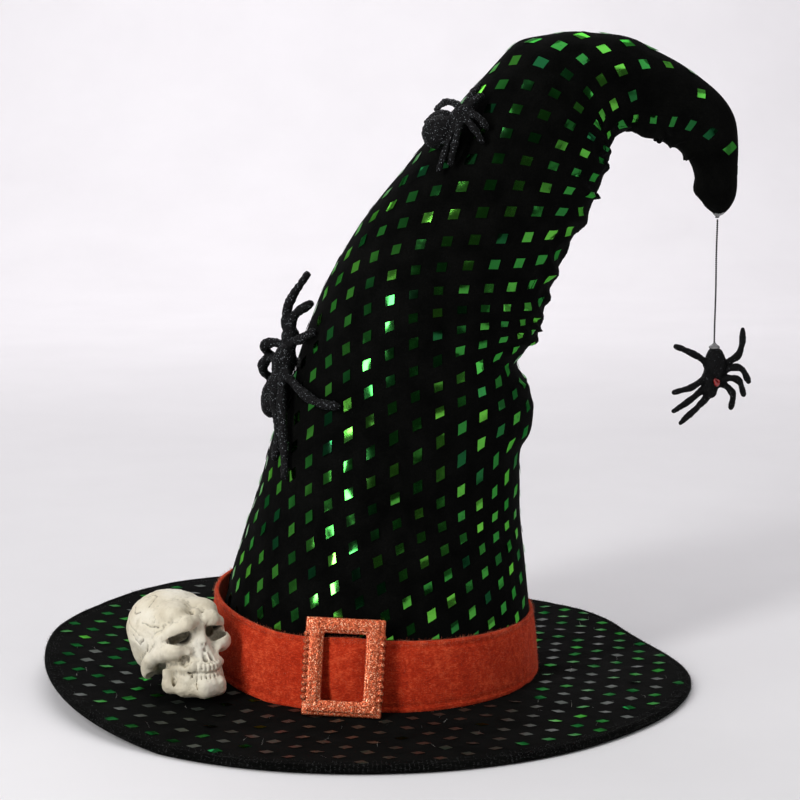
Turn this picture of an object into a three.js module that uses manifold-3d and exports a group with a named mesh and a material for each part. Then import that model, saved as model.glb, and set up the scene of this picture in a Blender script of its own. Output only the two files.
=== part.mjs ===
// A crooked witch's hat of foil-dotted velour, in millimetres, +Z up.
// The origin is the middle of the head opening, on the surface that the brim stands on.
// The front of the hat looks along -Y, and the crown leans and curls over towards +X.
import * as THREE from "three";
import { mergeVertices } from "three/addons/utils/BufferGeometryUtils.js";
import Module from "manifold-3d";

const wasm = await Module();
wasm.setup();

// ---- Driving dimensions ----
const gap = 0.3; // left between pieces that touch on the real hat
const cloth = 1.2; // velour with its fused backing
const foam = 2; // lining that keeps the crown up
const ribbon = 0.8; // sweatband and gathering elastic
const felt = 2.3; // hat band, folded double

// Centre x, centre z and radius of the crown, from the brim seam to the elbow
const crownStations = [
  [-0.7, 0, 98.7],
  [3.6, 57, 89],
  [9.4, 106, 79],
  [18, 150, 72],
  [27, 196, 66],
  [40, 238, 60.5],
  [66, 284, 53],
  [93, 322, 45.5],
  [120, 345, 36],
  [148, 349, 26],
];
// The same for the tip, from beside its ball root to its glued end
const tipStations = [
  [156.3, 347.8, 22.7],
  [172, 342, 21.8],
  [187, 331, 20],
  [196, 316, 16.5],
  [199.5, 300, 12.5],
  [201, 290, 10.3],
  [201.4, 282.3, 7.5],
];
const elbow = new THREE.Vector3(148, 0, 349);
const ballRadius = 24.2; // the tip's root turns in the end of the crown
const ballDip = THREE.MathUtils.degToRad(8); // the tip leaves the elbow this far below +X

const crownSides = 28;
const crownSpans = 12; // between the rings of the crown and of what lines it
const brimSides = 40;
const tipSides = 16;

const brimInner = 95.2;
const brimOuter = 194;
const brimShift = -3; // the edge's centre, along X
const brimThickness = 4.6;
const brimCover = 1.1;
const seamRise = 1.4; // mean height of the brim's underside at the crown seam; least at the curl
const seamRiseTowards = THREE.MathUtils.degToRad(170);
const flatFrom = 150; // from here outwards the standing part of the brim lies flat
const brimRadii = [brimInner, 110, 128, flatFrom]; // where its slope changes
const seamLift = 8.5; // extra height of the raised side at the crown seam
const edgeLift = 17; // and at the edge
const liftTowards = THREE.MathUtils.degToRad(150); // the raised side is back left
const liftStart = 0.1; // cosine from that direction at which the brim leaves the table
const wireRadius = 0.8;
const wireInset = 3.7; // from the edge of the brim to the middle of the wire
const stiffenerOuter = 188.5;
// How far the edge stands out from a circle, as degrees and millimetres: it was bent by hand,
// with a long flat towards the back of the curl's side and another along the front
const edgeOffsets = [
  [0, -3], [10, -11], [20, -15], [30, -10], [40, -2], [60, -3], [120, -3], [130, -1.5], [150, -3],
  [160, -2.5], [170, 1.5], [180, -1], [200, -3], [230, -4], [250, -6], [270, -8], [290, -7.5],
  [320, -6], [335, -2], [350, 0], [360, -3],
];

const bandHeight = 40;
const bandDrop = 3; // less height on the side of the curl
const bandGap = 0.5; // between the crown and the band
const bandStandOff = 3.5; // the band's upper edge stands away from the crown at the left
const sweatbandHeight = 30;

const buckle = { width: 45.5, height: 55, rail: 10.8, bar: 9, depth: 3, x: -15.5, z: 32.6 };
const beads = { radius: 1.7, count: 10, reach: 17.5, fromEdge: 1.2 }; // along each side of the buckle
const buckleStand = 3.9; // between the band and the middle of the buckle's back
const buckleLean = THREE.MathUtils.degToRad(6.5); // its lower edge stands further out than its upper
const buckleTurn = THREE.MathUtils.degToRad(3.5); // against the lean of the crown's wall

const threadX = 201;
const knotZ = 275.1;
const knotRadius = 1.3;
const threadRadius = 0.6;
const threadEndZ = 200.7;

// ---- Materials ----
const paint = (color, roughness, metalness = 0) =>
  new THREE.MeshStandardMaterial({ color, roughness, metalness });
const velour = paint(0x0b0c0b, 0.85);
const foamGrey = paint(0xb9bab6, 0.95);
const felted = paint(0xa83216, 0.95);
const glitterBlack = paint(0x17181a, 0.55);
const glitterCopper = paint(0xc0553a, 0.35, 0.5);
const bone = paint(0xd9d0b8, 0.6);
const glue = paint(0xd6d6d0, 0.25);
const ribbonBlack = paint(0x1b1b1d, 0.8);
const steel = paint(0x8d9094, 0.4, 0.9);

// ---- Solids ----
const vec = (x, y, z) => new THREE.Vector3(x, y, z);

function solid(geometry) {
  const bare = new THREE.BufferGeometry();
  bare.setAttribute("position", geometry.getAttribute("position"));
  bare.setIndex(geometry.getIndex());
  const merged = mergeVertices(bare, 1e-4);
  return new wasm.Manifold(
    new wasm.Mesh({
      numProp: 3,
      vertProperties: merged.attributes.position.array,
      triVerts: new Uint32Array(merged.index.array),
    }),
  );
}

function geometryOf(body) {
  const { vertProperties, triVerts } = body.getMesh();
  const geometry = new THREE.BufferGeometry();
  geometry.setAttribute("position", new THREE.BufferAttribute(vertProperties, 3));
  geometry.setIndex(new THREE.BufferAttribute(triVerts, 1));
  return geometry.toNonIndexed();
}

const hat = new THREE.Group();

function add(name, shape, material) {
  const geometry = shape.getMesh ? geometryOf(shape) : shape;
  const mesh = new THREE.Mesh(geometry, material);
  mesh.name = name;
  hat.add(mesh);
}

// A closed surface over equal rings, each counter-clockwise about the direction it faces.
// With `loop` the last ring joins the first, otherwise a fan closes both ends.
function skin(rings, loop) {
  const n = rings[0].length;
  const points = rings.flat();
  const faces = [];
  const spans = loop ? rings.length : rings.length - 1;
  for (let i = 0; i < spans; i++) {
    const a = i * n;
    const b = ((i + 1) % rings.length) * n;
    for (let j = 0; j < n; j++) {
      const k = (j + 1) % n;
      faces.push(a + j, a + k, b + k, a + j, b + k, b + j);
    }
  }
  if (!loop) {
    const top = (rings.length - 1) * n;
    const middle = (ring) =>
      ring.reduce((sum, p) => sum.add(p), vec(0, 0, 0)).divideScalar(n);
    points.push(middle(rings[0]), middle(rings[rings.length - 1]));
    const first = points.length - 2;
    for (let j = 0; j < n; j++) {
      const k = (j + 1) % n;
      faces.push(first, k, j, first + 1, top + j, top + k);
    }
  }
  const geometry = new THREE.BufferGeometry().setFromPoints(points);
  geometry.setIndex(faces);
  return geometry;
}

const turn = (sides) => Array.from({ length: sides }, (_, j) => (j / sides) * 2 * Math.PI);
const steps = (from, to, count) =>
  Array.from({ length: count + 1 }, (_, i) => from + ((to - from) * i) / count);

// A smooth curve through rows of numbers: t counts the rows and meets each of them
function along(rows, t) {
  const last = rows.length - 1;
  const i = Math.min(Math.floor(t), last - 1);
  const f = t - i;
  const beyond = (near, far) => near.map((v, c) => 2 * v - far[c]);
  const row = (k) => {
    if (k < 0) return beyond(rows[0], rows[1]);
    if (k > last) return beyond(rows[last], rows[last - 1]);
    return rows[k];
  };
  const [a, b, c, d] = [row(i - 1), row(i), row(i + 1), row(i + 2)];
  return b.map(
    (v, k) =>
      v +
      0.5 * f * (c[k] - a[k]) +
      f * f * (a[k] - 2.5 * v + 2 * c[k] - 0.5 * d[k]) +
      f * f * f * (1.5 * (v - c[k]) + 0.5 * (d[k] - a[k])),
  );
}

// A frame on a curved cone: centre, radius, and the direction in its plane that faces the curl
function section(rows, t) {
  const reach = 0.02;
  const [x, z, radius] = along(rows, t);
  const [x0, z0] = along(rows, Math.max(0, t - reach));
  const [x1, z1] = along(rows, Math.min(rows.length - 1, t + reach));
  const length = Math.hypot(x1 - x0, z1 - z0);
  const inward = vec((z1 - z0) / length, 0, -(x1 - x0) / length);
  return { centre: vec(x, 0, z), radius, inward };
}

// Angle 0 is the side of the curl, a quarter turn is the back and half a turn the outer side
function conePoint(rows, t, angle, extra) {
  const { centre, radius, inward } = section(rows, t);
  const r = radius + extra;
  return centre.addScaledVector(inward, r * Math.cos(angle)).add(vec(0, r * Math.sin(angle), 0));
}

const coneRing = (rows, t, extra, sides) =>
  turn(sides).map((angle) => conePoint(rows, t, angle, extra));

// ---- The brim's form ----
function raised(angle) {
  return Math.max(0, (Math.cos(angle - liftTowards) - liftStart) / (1 - liftStart));
}

function underside(radius, angle) {
  const seam = crownStations[0][2];
  const out = THREE.MathUtils.clamp((radius - seam) / (brimOuter - seam), 0, 1);
  const slope = 1 - THREE.MathUtils.smoothstep(radius, seam, flatFrom);
  const rise = seamRise * (1 + Math.cos(angle - seamRiseTowards));
  return rise * slope + raised(angle) * (seamLift + (edgeLift - seamLift) * out);
}

function edgeOffset(angle) {
  const degrees = THREE.MathUtils.radToDeg(angle) % 360;
  const next = edgeOffsets.findIndex(([at]) => at > degrees);
  const [from, low] = edgeOffsets[next - 1];
  const [to, high] = edgeOffsets[next];
  return THREE.MathUtils.lerp(low, high, (degrees - from) / (to - from));
}

// A ring round the hat at one radius, `above` the underside of the brim
function brimRing(radius, above) {
  const share = Math.max(0, (radius - brimInner) / (brimOuter - brimInner));
  return turn(brimSides).map((angle) => {
    const r = radius + share * edgeOffset(angle);
    const x = r * Math.cos(angle) + share * brimShift;
    return vec(x, r * Math.sin(angle), underside(radius, angle) + above);
  });
}

// A layer of the brim between two heights above the underside, out to its edge
function brimLayer(low, high, edge) {
  const radii = [...brimRadii, edge];
  return skin(
    [...radii.map((r) => brimRing(r, low)), ...radii.toReversed().map((r) => brimRing(r, high))],
    true,
  );
}

function brimTopCover() {
  const low = brimThickness - brimCover;
  const lip = brimCover + gap;
  const radii = [...brimRadii];
  const rings = [
    ...radii.map((r) => brimRing(r, low)),
    brimRing(brimOuter - 2.2, low),
    brimRing(brimOuter - 1.8, lip),
    brimRing(brimOuter, lip),
    brimRing(brimOuter, low),
    brimRing(brimOuter - 1.4, brimThickness),
    ...radii.toReversed().map((r) => brimRing(r, brimThickness)),
  ];
  return skin(rings, true);
}

function brimWire() {
  const centre = brimOuter - wireInset;
  const height = brimThickness / 2;
  return skin(
    turn(5).map((a) =>
      brimRing(centre + wireRadius * Math.cos(a), height + wireRadius * Math.sin(a)),
    ),
    true,
  );
}

// Everything up to `above` the top of the brim, which whatever stands on the brim is cut by
function belowBrimTop(above) {
  const height = brimThickness + above;
  const floor = turn(brimSides).map((a) => vec(215 * Math.cos(a), 215 * Math.sin(a), -40));
  const radii = [215, brimOuter, ...brimRadii.toReversed(), 40];
  return solid(skin([floor, ...radii.map((r) => brimRing(r, height))], false));
}
const onBrim = belowBrimTop(gap);

// ---- The crown ----
const crownEnd = crownStations.length - 1;
const crownLevels = steps(0, crownEnd, crownSpans);

// The crown's outer form over some of its levels, grown by `extra`
function crownForm(extra, levels) {
  const rings = levels.map((t) => coneRing(crownStations, t, extra, crownSides));
  return solid(skin(rings, false));
}
const onCrown = crownForm(gap, crownLevels);

// A wall of the crown `depth` inside its outer form, open at the brim and at the last level
function crownShell(depth, thickness, levels) {
  const past = levels.at(-1) + 0.1;
  const hollow = crownForm(-depth - thickness, [...levels, past]);
  return crownForm(-depth, levels).subtract(hollow).subtract(onBrim);
}

// A flat strip inside a cone along the side of its curl
function strip(rows, levels, depth, width) {
  const rings = levels.map((t) => {
    const { centre, radius, inward } = section(rows, t);
    const corner = (r, y) => centre.clone().addScaledVector(inward, r).add(vec(0, y, 0));
    const high = radius - depth;
    const low = high - ribbon;
    const half = width / 2;
    return [corner(high, -half), corner(high, half), corner(low, half), corner(low, -half)];
  });
  return skin(rings, false);
}

const crownElastic = () =>
  strip(crownStations, crownLevels.slice(1, -1), cloth + foam + 4 * gap, 6);

// The point of the crown's wall at height z, on the side that `angle` gives
function wall(angle, z, extra) {
  let low = 0;
  let high = 3;
  for (let i = 0; i < 30; i++) {
    const t = (low + high) / 2;
    if (conePoint(crownStations, t, angle, extra).z < z) low = t;
    else high = t;
  }
  return conePoint(crownStations, low, angle, extra);
}

// A ring on the wall, `above` the brim's underside at the seam
const wallRing = (above, extra) =>
  turn(crownSides).map((angle) =>
    wall(angle, underside(brimInner, angle) + above(angle), extra(angle)),
  );

function sweatband() {
  const outside = -(cloth + foam + 4 * gap);
  const levels = steps(0.4, sweatbandHeight, 3);
  return skin(
    [
      ...levels.map((z) => wallRing(() => z, () => outside)),
      ...levels.toReversed().map((z) => wallRing(() => z, () => outside - ribbon)),
    ],
    true,
  );
}

function bandRings(extra) {
  const bottom = brimThickness + 2 * gap;
  const left = (angle) => Math.max(0, -Math.cos(angle - 0.15));
  const height = (angle) => bandHeight - bandDrop * Math.max(0, Math.cos(angle));
  return steps(0, 1, 4).map((f) =>
    wallRing(
      (angle) => bottom + f * height(angle),
      (angle) => extra + bandStandOff * f * f * left(angle),
    ),
  );
}

const bandForm = (inside, outside) => skin([...bandRings(outside), ...bandRings(inside).reverse()], true);
const hatBand = () => bandForm(bandGap, bandGap + felt);

// ---- The tip ----
function ballRings(radius, from, to, count) {
  const axis = vec(Math.cos(ballDip), 0, -Math.sin(ballDip));
  const inward = vec(-Math.sin(ballDip), 0, -Math.cos(ballDip));
  return steps(from, to, count).map((degrees) => {
    const angle = THREE.MathUtils.degToRad(degrees);
    const centre = elbow.clone().addScaledVector(axis, -radius * Math.cos(angle));
    const r = radius * Math.sin(angle);
    return turn(tipSides).map((a) =>
      centre
        .clone()
        .addScaledVector(inward, r * Math.cos(a))
        .add(vec(0, r * Math.sin(a), 0)),
    );
  });
}

const tipEnd = tipStations.length - 1;

function tipRings(inset, end) {
  return [
    ...ballRings(ballRadius - inset, 25, 102, 5),
    ...steps(0, end, 9).map((t) => coneRing(tipStations, t, -inset, tipSides)),
  ];
}

const tipCover = () =>
  skin([...tipRings(cloth, tipEnd - 0.2).reverse(), ...tipRings(0, tipEnd)], false);

const tipStuffing = () =>
  skin(tipRings(cloth + gap + ribbon + 2 * gap, tipEnd - 0.4), false);

const tipElastic = () =>
  strip(tipStations, steps(0.5, tipEnd - 1, 8), cloth + 2 * gap, 4);

// ---- Spiders ----
function ellipsoid(centre, radii, along = vec(0, 0, 1)) {
  const shape = new THREE.SphereGeometry(1, 10, 6);
  const pose = new THREE.Matrix4().compose(
    centre,
    new THREE.Quaternion().setFromUnitVectors(vec(0, 0, 1), along.clone().normalize()),
    vec(...radii),
  );
  return solid(shape.applyMatrix4(pose));
}

function limb(points, radius) {
  const outline = new THREE.Shape(
    turn(5).map((a) => new THREE.Vector2(radius * Math.cos(a), radius * Math.sin(a))),
  );
  const path = new THREE.CatmullRomCurve3(points);
  const count = 2 * (points.length - 1);
  return solid(
    new THREE.ExtrudeGeometry(outline, { extrudePath: path, steps: count, bevelEnabled: false }),
  );
}

const joined = (bodies) => bodies.reduce((all, body) => all.add(body));

// Points given as station, angle in degrees and height above the crown's surface
const perched = ([t, degrees, height]) =>
  conePoint(crownStations, t, THREE.MathUtils.degToRad(degrees), height);

// A spider on the crown: lumps of its body with their radii, and legs out of the thorax
function perchedSpider({ thorax, lumps, legs, legRadius }) {
  const bodies = lumps.map(({ at, radii, towards }) =>
    ellipsoid(perched(at), radii, perched(towards).sub(perched(at))),
  );
  const limbs = legs.map((leg) => limb([thorax, ...leg].map(perched), legRadius));
  return joined([...bodies, ...limbs]).subtract(onCrown);
}

const sideSpider = {
  thorax: [3.62, 192, 9],
  lumps: [
    { at: [3.2, 191, 8], radii: [8, 9, 14.5], towards: [3.62, 192, 8] },
    { at: [3.6, 192, 9], radii: [7, 7, 11], towards: [3.2, 191, 8] },
    { at: [3.86, 188, 9], radii: [5.2, 5.2, 6.5], towards: [3.6, 192, 9] },
  ],
  legs: [
    [[3.89, 187, 10.5], [4.02, 186, 14.5], [4.26, 184, 15.5], [4.57, 183, 11.5]],
    [[3.9, 188, 10], [4.1, 188, 11], [4.3, 191, 5]],
    [[3.8, 192, 8], [3.9, 200, 6], [4.0, 206, 4]],
    [[3.74, 184, 10], [3.74, 181, 18], [3.67, 180, 21], [3.56, 175, 13], [3.5, 166, 4]],
    [[3.58, 181, 16], [3.48, 180, 19], [3.37, 178, 16], [3.28, 174, 9], [3.2, 168, 4]],
    [[3.48, 200, 7], [3.37, 216, 5], [3.33, 227, 4.5], [3.35, 236, 3.6]],
    [[3.18, 197, 10], [2.98, 201, 7], [2.71, 206, 4.8], [2.44, 208, 3.6]],
    [[3.25, 203, 9], [2.92, 208, 6.5], [2.6, 214, 4.8], [2.3, 219, 3.6]],
  ],
  legRadius: 2.5,
};

const upperSpider = {
  thorax: [6.66, 223, 7],
  lumps: [
    { at: [6.38, 219, 9], radii: [9.3, 9.3, 9.8], towards: [6.66, 223, 7] },
    { at: [6.53, 221, 7.5], radii: [4.5, 4.5, 6], towards: [6.66, 223, 7] },
    { at: [6.66, 223, 7], radii: [6, 5.5, 7.5], towards: [6.38, 219, 8.5] },
  ],
  legs: [
    [[6.72, 216, 10.5], [6.67, 205, 9.5], [6.55, 184, 4.5]],
    [[6.59, 217, 9.5], [6.54, 208, 9.5], [6.38, 189, 4.6]],
    [[6.79, 220, 8.5], [6.91, 216, 7.5], [7.03, 208, 3.8]],
    [[6.79, 223, 8.5], [6.89, 222, 7.5], [6.95, 219, 3.6]],
    [[6.73, 228, 8.5], [6.75, 234, 7.5], [6.72, 240, 3.6]],
    [[6.65, 230, 8.5], [6.62, 237, 7.5], [6.57, 243, 3.6]],
    [[6.56, 229, 10.5], [6.36, 234, 9.5], [6.18, 236, 4.5]],
    [[6.52, 226, 9.5], [6.3, 230, 8.5], [6.05, 232, 4]],
  ],
  legRadius: 1.6,
};

// The hanging spider, from the lower end of the thread: x towards the tip side, z up
function hangingSpider() {
  const from = (x, y, z) => vec(threadX + x, y, threadEndZ + z);
  const thorax = from(-1.4, 1, -22.5);
  const legs = [
    [[-5, -1, -11.5], [-14.5, -4, -5], [-22.6, -1, -1.9]],
    [[-6.5, -1, -22], [-14, -3.5, -26], [-23, 0, -29.3]],
    [[-5.6, 0, -27], [-14, -1, -34], [-22.8, 2, -41]],
    [[-3.2, 0, -31], [-10.5, -2, -39], [-19, 0, -47.6]],
    [[7, 0, -12.2], [13.2, -3, -7.2], [15.8, -3, -0.2], [16.4, 0, 8]],
    [[8, -1, -15.4], [15.4, -4, -14.4], [20.8, 0, -23]],
    [[7.6, -1, -20.6], [14.2, -4, -21.6], [18, 0, -30.5]],
    [[6, 0, -24.5], [11.3, -2, -30], [10.8, 1, -38.4]],
  ];
  return joined([
    ellipsoid(from(0.8, 0, -12.9), [6.6, 6.4, 9.4]),
    ellipsoid(thorax, [6, 5.2, 8]),
    ...legs.map((leg) => limb([thorax, ...leg.map((p) => from(...p))], 1.8)),
  ]);
}

// ---- Glue, buckle and skull ----
function disc(centre, normal, radius, thickness) {
  const pose = new THREE.Matrix4().compose(
    centre,
    new THREE.Quaternion().setFromUnitVectors(vec(0, 1, 0), normal.clone().normalize()),
    vec(1, 1, 1),
  );
  return solid(new THREE.CylinderGeometry(radius, radius, thickness, 12).applyMatrix4(pose));
}

// A dab on the crown under a body that stands `clear` above its surface
function crownDab([t, degrees], clear, radius) {
  const foot = perched([t, degrees, 0]);
  const normal = perched([t, degrees, 1]).sub(foot);
  const top = clear - gap;
  return disc(perched([t, degrees, top / 2]), normal, radius, top).subtract(onCrown);
}

function lathe(profile, x, sides) {
  const points = profile.map(([r, z]) => new THREE.Vector2(r, z));
  const shape = new THREE.LatheGeometry(points, sides);
  return shape.rotateX(Math.PI / 2).translate(x, 0, 0);
}

const tipGlue = () =>
  lathe([[0, 276.7], [1.6, 276.7], [3.4, 278.8], [6, 280.6], [6.6, 281.5], [0, 281.5]], threadX, 20);

const spiderGlue = () => {
  const top = threadEndZ - gap;
  return lathe([[0, top - 2.9], [3.4, top - 2.9], [2.4, top - 1.2], [1.1, top], [0, top]], threadX, 16);
};

const thread = () => {
  const top = knotZ - knotRadius - gap;
  const points = steps(top, threadEndZ, 20).map((z) => vec(threadX, 0, z));
  const shape = new THREE.Shape(
    turn(8).map((a) => new THREE.Vector2(threadRadius * Math.cos(a), threadRadius * Math.sin(a))),
  );
  const path = new THREE.CatmullRomCurve3(points);
  return new THREE.ExtrudeGeometry(shape, { extrudePath: path, steps: 20, bevelEnabled: false });
};

const bandFront = (z, extra) => {
  const around = Math.PI + Math.acos(-buckle.x / 94);
  return wall(around, z, bandGap + felt + extra);
};

// Where the buckle lies: against the band, leaning back a little more than the band does
function bucklePose() {
  const centre = bandFront(buckle.z, buckleStand);
  const up = bandFront(buckle.z + 10, 0).sub(bandFront(buckle.z - 10, 0)).normalize();
  const out = vec(buckle.x, centre.y, 0).normalize();
  const across = up.clone().cross(out.clone().negate()).normalize().negate();
  const face = across.clone().cross(up).normalize();
  const pose = new THREE.Matrix4().makeBasis(across, up, face).setPosition(centre);
  return pose.multiply(new THREE.Matrix4().makeRotationX(-buckleLean));
}

function buckleFrame() {
  const { width, height, rail, bar, depth } = buckle;
  const rectangle = (w, h) => [
    new THREE.Vector2(-w / 2, -h / 2),
    new THREE.Vector2(w / 2, -h / 2),
    new THREE.Vector2(w / 2, h / 2),
    new THREE.Vector2(-w / 2, h / 2),
  ];
  const outline = new THREE.Shape(rectangle(width, height));
  outline.holes.push(new THREE.Path(rectangle(width - 2 * rail, height - 2 * bar)));
  const frame = solid(new THREE.ExtrudeGeometry(outline, { depth, bevelEnabled: false }));
  const rounds = steps(-beads.reach, beads.reach, beads.count - 1).flatMap((y) =>
    [-1, 1].map((side) => {
      const bead = new THREE.SphereGeometry(beads.radius, 6, 4);
      return solid(bead.translate(side * (width / 2 - beads.fromEdge), y, depth - 0.3));
    }),
  );
  const body = joined([frame, ...rounds]);
  const tilt = new THREE.Matrix4().makeRotationZ(buckleTurn);
  const pose = bucklePose().multiply(tilt);
  return solid(geometryOf(body).applyMatrix4(pose)).subtract(onBrim);
}

function buckleDab(y, depth) {
  const pose = bucklePose();
  const normal = vec(0, 0, 1).transformDirection(pose);
  return disc(vec(0, y, -gap - depth / 2).applyMatrix4(pose), normal, 3.4, depth);
}

// The skull looks to the right and front; its own frame is face, left and up from its base
const skullBase = vec(-111, -63, 8.6);
const skullClear = 1.4; // its underside above the brim, with the glue between
const skullYaw = THREE.MathUtils.degToRad(-50);
const skullPose = new THREE.Matrix4().makeRotationZ(skullYaw).setPosition(skullBase);
const skullLump = (at, radii) => {
  const shape = new THREE.SphereGeometry(1, 10, 7).scale(...radii).translate(...at);
  return solid(shape.applyMatrix4(skullPose));
};

function skull() {
  const outside = joined([
    skullLump([-6, 0, 36], [28, 24.5, 23]),
    skullLump([-13, 0, 21.5], [15.5, 18.5, 14.5]),
    skullLump([14, 0, 37], [10.5, 19.5, 15]),
    skullLump([22, 0, 24], [12, 13, 13]),
    skullLump([13, 16, 25], [13, 6, 8]),
    skullLump([13, -16, 25], [13, 6, 8]),
    skullLump([28, 0, 11], [10, 10, 8]),
    skullLump([18, 11, 11], [9, 6, 8]),
    skullLump([18, -11, 11], [9, 6, 8]),
  ]);
  const hollows = joined([
    skullLump([23, 11, 39], [7, 6, 4.5]),
    skullLump([23, -11, 39], [7, 6, 4.5]),
    skullLump([30, 0, 30], [4, 3, 5]),
  ]);
  const band = solid(bandForm(-2, bandGap + felt + 0.4));
  const inside = joined([skullLump([-5, 0, 33], [26, 22, 19]), skullLump([-8, 0, 12], [13, 13, 22])]);
  const cuts = [hollows, inside, band, belowBrimTop(skullClear)];
  return cuts.reduce((body, cut) => body.subtract(cut), outside);
}

function skullDab() {
  const spot = vec(12, 0, 0).applyMatrix4(skullPose);
  const column = new THREE.CylinderGeometry(8, 8, 60, 16).rotateX(Math.PI / 2);
  return solid(column.translate(spot.x, spot.y, 0))
    .intersect(belowBrimTop(skullClear - gap))
    .subtract(onBrim);
}

// ---- The hat ----
add("crown_cover", crownShell(0, cloth, crownLevels), velour);
add("crown_foam_lining", crownShell(cloth + gap, foam, crownLevels.slice(0, -1)), foamGrey);
add("crown_gather_elastic", crownElastic(), ribbonBlack);
add("sweatband", sweatband(), ribbonBlack);
add("brim_top_cover", brimTopCover(), velour);
add("brim_stiffener", brimLayer(brimCover + gap, brimThickness - brimCover - gap, stiffenerOuter), foamGrey);
add("brim_under_cover", brimLayer(0, brimCover, brimOuter - 0.4), velour);
add("brim_edge_wire", brimWire(), steel);
add("hat_band", hatBand(), felted);
add("buckle_frame", buckleFrame(), glitterCopper);
add("buckle_glue_upper", buckleDab(23, 0.7), glue);
add("buckle_glue_lower", buckleDab(-22.5, 5.3), glue);
add("skull", skull(), bone);
add("skull_glue", skullDab(), glue);
add("side_spider", perchedSpider(sideSpider), glitterBlack);
add("side_spider_glue", crownDab([3.6, 192], 2, 4), glue);
add("upper_spider", perchedSpider(upperSpider), glitterBlack);
add("upper_spider_glue", crownDab([6.66, 223], 1.4, 3), glue);
add("tip_cover", tipCover(), velour);
add("tip_stuffing", tipStuffing(), foamGrey);
add("tip_gather_elastic", tipElastic(), ribbonBlack);
add("tip_glue", tipGlue(), glue);
add("thread_knot", new THREE.SphereGeometry(knotRadius, 12, 8).translate(threadX, 0, knotZ), ribbonBlack);
add("hanging_thread", thread(), ribbonBlack);
add("hanging_spider", hangingSpider(), glitterBlack);
add("hanging_spider_glue", spiderGlue(), glue);

export default hat;
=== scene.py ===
import math
import bpy
import numpy as np
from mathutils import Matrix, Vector


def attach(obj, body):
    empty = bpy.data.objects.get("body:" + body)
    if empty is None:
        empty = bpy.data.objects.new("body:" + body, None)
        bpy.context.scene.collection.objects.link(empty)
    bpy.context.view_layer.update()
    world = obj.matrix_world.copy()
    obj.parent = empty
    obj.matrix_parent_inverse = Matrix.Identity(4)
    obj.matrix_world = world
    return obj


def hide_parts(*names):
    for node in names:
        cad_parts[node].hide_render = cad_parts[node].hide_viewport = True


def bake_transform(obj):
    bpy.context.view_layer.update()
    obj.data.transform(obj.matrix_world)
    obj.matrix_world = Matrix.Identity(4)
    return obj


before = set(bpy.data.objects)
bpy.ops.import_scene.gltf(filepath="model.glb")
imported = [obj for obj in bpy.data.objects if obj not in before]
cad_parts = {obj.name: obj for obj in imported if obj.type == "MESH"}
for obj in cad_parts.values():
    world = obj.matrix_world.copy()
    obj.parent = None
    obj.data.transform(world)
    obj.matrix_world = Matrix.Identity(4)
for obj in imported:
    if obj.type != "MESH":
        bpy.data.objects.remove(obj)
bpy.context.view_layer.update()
scene = bpy.context.scene
MM = 0.001

# ---- Forms shared with the CAD ----
CROWN = [
    [-0.7, 0, 98.7], [3.6, 57, 89], [9.4, 106, 79], [18, 150, 72], [27, 196, 66],
    [40, 238, 60.5], [66, 284, 53], [93, 322, 45.5], [120, 345, 36], [148, 349, 26],
]
TIP = [
    [172, 342, 21.8], [187, 331, 20], [196, 316, 16.5], [199.5, 300, 12.5],
    [201, 290, 10.3], [201.4, 282.3, 7.5],
]
WHOLE = CROWN + TIP + [[201.5, 278.6, 4.6], [201.5, 276.6, 2.4]]
BRIM_INNER, BRIM_OUTER, BRIM_SHIFT, BRIM_THICKNESS = 95.2, 194.0, -3.0, 4.6
SEAM_RISE, SEAM_RISE_TOWARDS, FLAT_FROM = 1.4, math.radians(170), 150.0
SEAM_LIFT, EDGE_LIFT, LIFT_START = 8.5, 17.0, 0.1
LIFT_TOWARDS = math.radians(150)
# How far the hand-bent edge of the brim stands out from a circle, as degrees and millimetres
EDGE_OFFSETS = [
    (0, -3), (10, -11), (20, -15), (30, -10), (40, -2), (60, -3), (120, -3), (130, -1.5),
    (150, -3), (160, -2.5), (170, 1.5), (180, -1), (200, -3), (230, -4), (250, -6), (270, -8),
    (290, -7.5), (320, -6), (335, -2), (350, 0), (360, -3),
]
FELT, BAND_GAP, BAND_HEIGHT, BAND_DROP, BAND_STAND_OFF = 2.3, 0.5, 40.0, 3.0, 3.5
THREAD_X, KNOT_Z, THREAD_TOP, THREAD_END = 201.0, 275.1, 273.5, 200.7
THREAD_RADIUS = 0.6


# ---- Camera ----
CAMERA_AT, CAMERA_DOWN = (0.0162, -1.281, 0.3812), 9.5  # metres, and degrees below the horizon
LENS, SENSOR, CLIP_END = 99, 36, 30


def add_camera():
    data = bpy.data.cameras.new("camera")
    data.lens, data.sensor_width, data.clip_end = LENS, SENSOR, CLIP_END
    camera = bpy.data.objects.new("camera", data)
    camera.location = CAMERA_AT
    camera.rotation_euler = (math.radians(90 - CAMERA_DOWN), 0, 0)
    scene.collection.objects.link(camera)
    scene.camera = camera


add_camera()


# ---- Meshes ----
def mesh_object(name, points, faces, smooth=True):
    mesh = bpy.data.meshes.new(name)
    faces = faces.tolist() if isinstance(faces, np.ndarray) else faces
    mesh.from_pydata((np.asarray(points, float).reshape(-1, 3) * MM).tolist(), [], faces)
    mesh.update()
    if smooth:
        mesh.shade_smooth()
    obj = bpy.data.objects.new(name, mesh)
    scene.collection.objects.link(obj)
    return obj


def grid_faces(rows, columns, closed=True):
    """Quads over a grid of points; with closed the last column joins the first."""
    i, j = np.meshgrid(
        np.arange(rows - 1), np.arange(columns if closed else columns - 1), indexing="ij"
    )
    k = (j + 1) % columns
    quads = [i * columns + j, i * columns + k, (i + 1) * columns + k, (i + 1) * columns + j]
    return np.stack([q.ravel() for q in quads], axis=1)


def unit(v):
    return v / np.maximum(np.linalg.norm(v, axis=-1, keepdims=True), 1e-9)


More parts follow.
